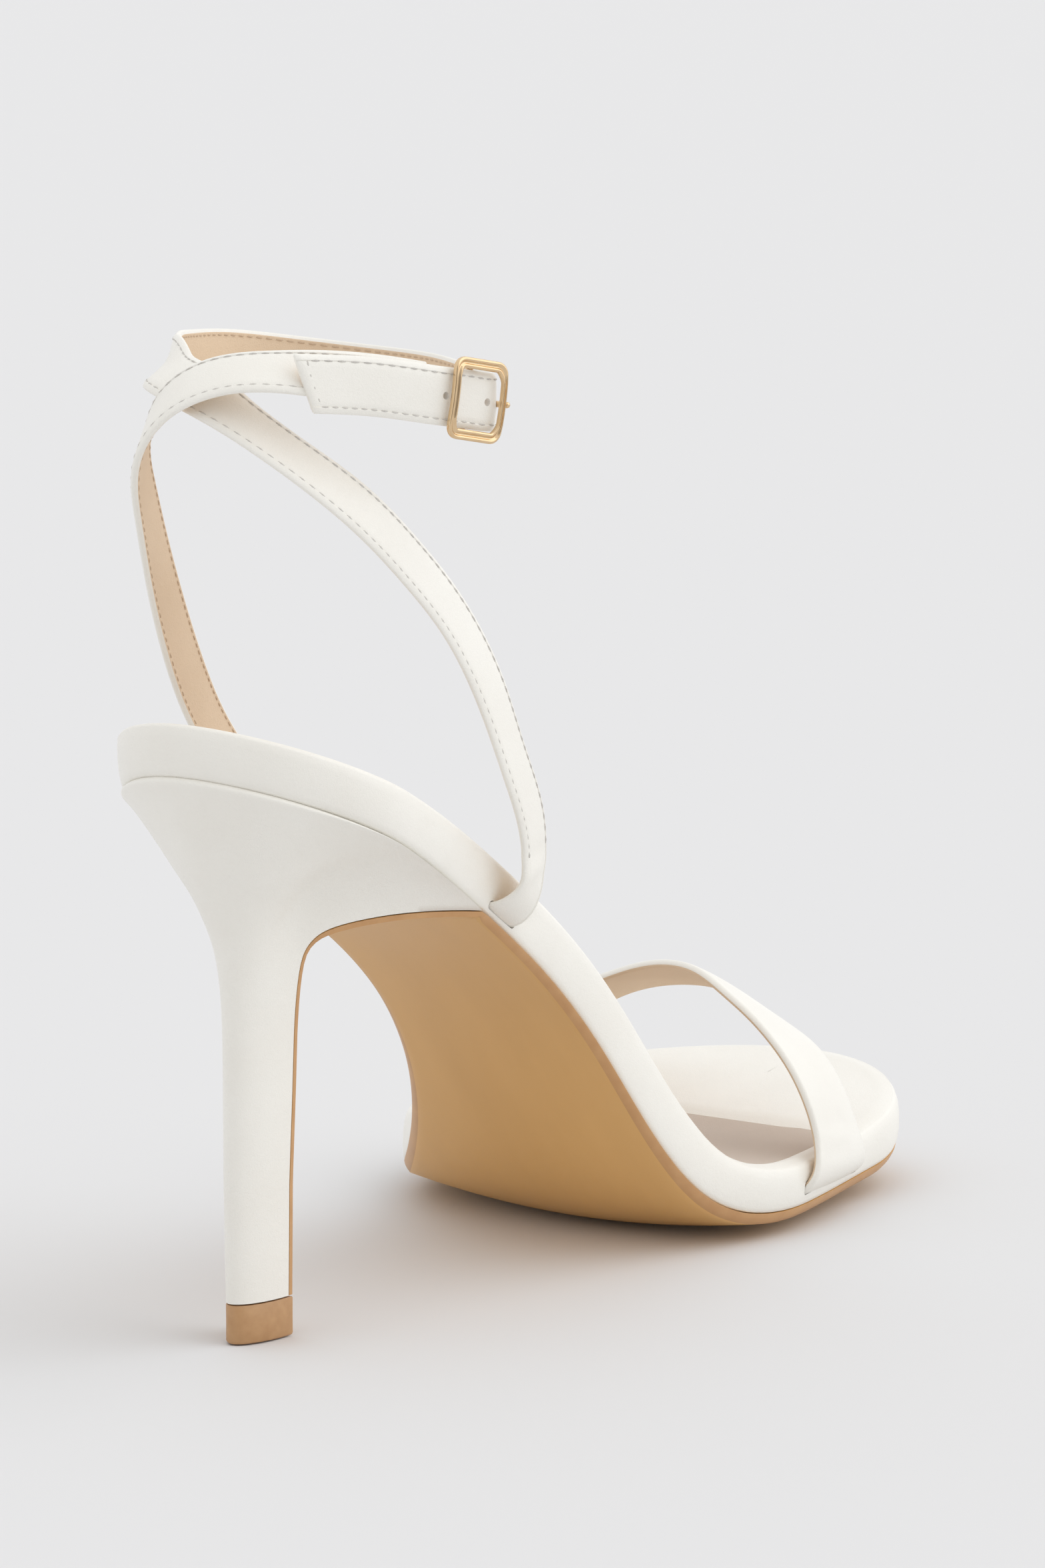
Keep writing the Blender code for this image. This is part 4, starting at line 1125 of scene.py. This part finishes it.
def add_outsole():
    """Polished sole with painted edges, and its tongue down the front of the heel."""
    across_count = 41
    reach = SOLE_TOE - 32.6
    stations = SOLE_TOE - reach * np.linspace(0.0025, 1.0, 120) ** 1.3
    share = np.linspace(-1.0, 1.0, across_count)
    rings = []
    for x in stations:
        centre = outline_centre(x)
        half = outline_half(x) * end_rounding(x)
        under = max(half - UNDER_INSET, half * 0.6)
        edge = BREAST_SHEET + 0.3 + (OUTSOLE_EDGE - BREAST_SHEET - 0.3) * smooth(35.0, 100.0, x)
        crown = OUTSOLE_CROWN * smooth(45.0, 95.0, x) * end_rounding(x)
        top_y = centre + share * half
        top = np.column_stack([np.full(across_count, x), top_y, plane_height(x, top_y) - SEAM])
        low_y = centre + share[::-1] * under
        low_z = plane_height(x, low_y) - SEAM - edge - crown * (1.0 - share[::-1] ** 2)
        low_z = 0.5 * (low_z + np.sqrt(low_z**2 + 0.09))
        bottom = np.column_stack([np.full(across_count, x), low_y, np.maximum(low_z - 0.1, 0.0)])
        sides = []
        for a, b in ((top[-1], bottom[0]), (bottom[-1], top[0])):
            bulge = np.array([0.0, math.copysign(0.22, a[1] - centre), 0.0])
            sides.append([a * 0.66 + b * 0.34 + bulge, a * 0.3 + b * 0.7 + bulge * 0.9])
        rings.append(np.vstack([top, sides[0], bottom, sides[1]]))
    rings += heel_cover_rings(across_count)
    strips = [0] * (across_count - 1) + [1] * 3 + [0] * (across_count - 1) + [1] * 3
    piece = loft("sole_leather_wrap", rings, [SOLE, EDGE], strips, slot="sole")
    piece.data.set_sharp_from_angle(angle=math.radians(55.0))
    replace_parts(piece, "outsole")


def heel_cover_rings(across_count):
    """The end of the sole leather: lines across the heel's front face, down to the top piece."""
    shell = heel_shell(33, 25)[::-1]
    lines = [across_line(shell[0][0], shell[0][-1], across_count)]
    for ring in shell[1:]:
        if np.linalg.norm(ring[0] - lines[-1][0]) > 0.6:
            lines.append(across_line(ring[0], ring[-1], across_count))
    ahead = lines[0] + np.array([3.0, 0.0, plane_height(33.7, 0.0) - plane_height(30.7, 0.0)])
    rings = []
    for k, line in enumerate(lines):
        before = lines[k - 1] if k else ahead
        after = lines[min(k + 1, len(lines) - 1)]
        run = (after - line) / np.linalg.norm(after - line, axis=1).clip(1e-9)[:, None]
        run = run + unit(line - before)
        sideways = np.broadcast_to(line[-1] - line[0], run.shape)
        normal = unit(np.cross(run, sideways))
        if k == len(lines) - 1:
            normal = np.broadcast_to([1.0, 0.0, 0.0], run.shape)
        close = line + normal * 0.2
        far = line + normal * (0.3 + BREAST_SHEET)
        far = (far - far.mean(axis=0)) * 0.985 + far.mean(axis=0)
        middle = [close[-1] * 0.66 + far[-1] * 0.34, close[-1] * 0.3 + far[-1] * 0.7]
        other = [far[0] * 0.66 + close[0] * 0.34, far[0] * 0.3 + close[0] * 0.7]
        rings.append(np.vstack([close, middle, far[::-1], other]))
    return rings


CAMERA_PLACE = (-0.88467, -0.60749, 0.2372)
CAMERA_AIM = (0.0805, 0.0010, 0.0775)
PHOTO_PIXELS = 2352.0
FOCAL_PIXELS = 6133.0
CLOSER = 1.72


def add_camera():
    """The photo's viewpoint, turned to this one shoe, with a longer lens."""
    data = bpy.data.cameras.new("camera")
    data.sensor_width = 36.0
    data.lens = FOCAL_PIXELS * CLOSER * 36.0 / PHOTO_PIXELS
    data.clip_start = 0.05
    data.clip_end = 60.0
    camera = bpy.data.objects.new("camera", data)
    camera.location = CAMERA_PLACE
    aim = Vector(CAMERA_AIM) - Vector(CAMERA_PLACE)
    camera.rotation_euler = aim.to_track_quat("-Z", "Y").to_euler()
    bpy.context.scene.collection.objects.link(camera)
    bpy.context.scene.camera = camera


KEY_DIRECTION = (-0.5, 0.8, -0.8)
DARK_SIDE = (-0.80, -0.58, 0.12)


def add_light():
    """Wide soft light from above, and a bright room round the shoe with one darker side."""
    data = bpy.data.lights.new("key", "SUN")
    data.energy = 0.8
    data.angle = math.radians(75.0)
    light = bpy.data.objects.new("key", data)
    light.rotation_euler = Vector(KEY_DIRECTION).to_track_quat("-Z", "Y").to_euler()
    bpy.context.scene.collection.objects.link(light)
    world = bpy.data.worlds.new("studio")
    world.use_nodes = True
    tree = world.node_tree
    back = tree.nodes["Background"]
    place = tree.nodes.new("ShaderNodeTexCoord").outputs["Generated"]
    height = add_node(tree, "ShaderNodeSeparateXYZ", [("Vector", place)]).outputs["Z"]
    levels = [(0.0, (0.88, 0.88, 0.89)), (0.3, (0.92, 0.92, 0.925)), (1.0, (0.95, 0.95, 0.95))]
    sky = ramp(tree, height, levels)
    facing = add_node(tree, "ShaderNodeVectorMath", [(0, place), (1, DARK_SIDE)], operation="DOT_PRODUCT")
    dark = ramp(tree, facing.outputs["Value"], [(0.84, (1.0, 1.0, 1.0)), (0.97, (0.30, 0.28, 0.26))])
    tree.links.new(multiplied(tree, 1.0, sky, dark), back.inputs["Color"])
    back.inputs["Strength"].default_value = 1.0
    bpy.context.scene.world = world
    bpy.context.scene.view_settings.view_transform = "Standard"


def add_floor():
    """Pale seamless floor."""
    mesh = bpy.data.meshes.new("floor")
    half = 30.0
    corners = [(-half, -half, 0), (half, -half, 0), (half, half, 0), (-half, half, 0)]
    mesh.from_pydata(corners, [], [(0, 1, 2, 3)])
    floor = bpy.data.objects.new("floor", mesh)
    material, _, shader = node_shader("floor")
    shader.inputs["Base Color"].default_value = (0.745, 0.745, 0.75, 1.0)
    shader.inputs["Roughness"].default_value = 0.85
    shader.inputs["Specular IOR Level"].default_value = 0.1
    mesh.materials.append(material)
    floor.location.z = -0.0002
    bpy.context.scene.collection.objects.link(floor)


add_camera()
add_light()
add_floor()
add_outsole()
add_heel()
add_top_piece()
add_footbed()
add_sock()
add_toe_strap()
add_straps()
add_stitching()
add_buckle()
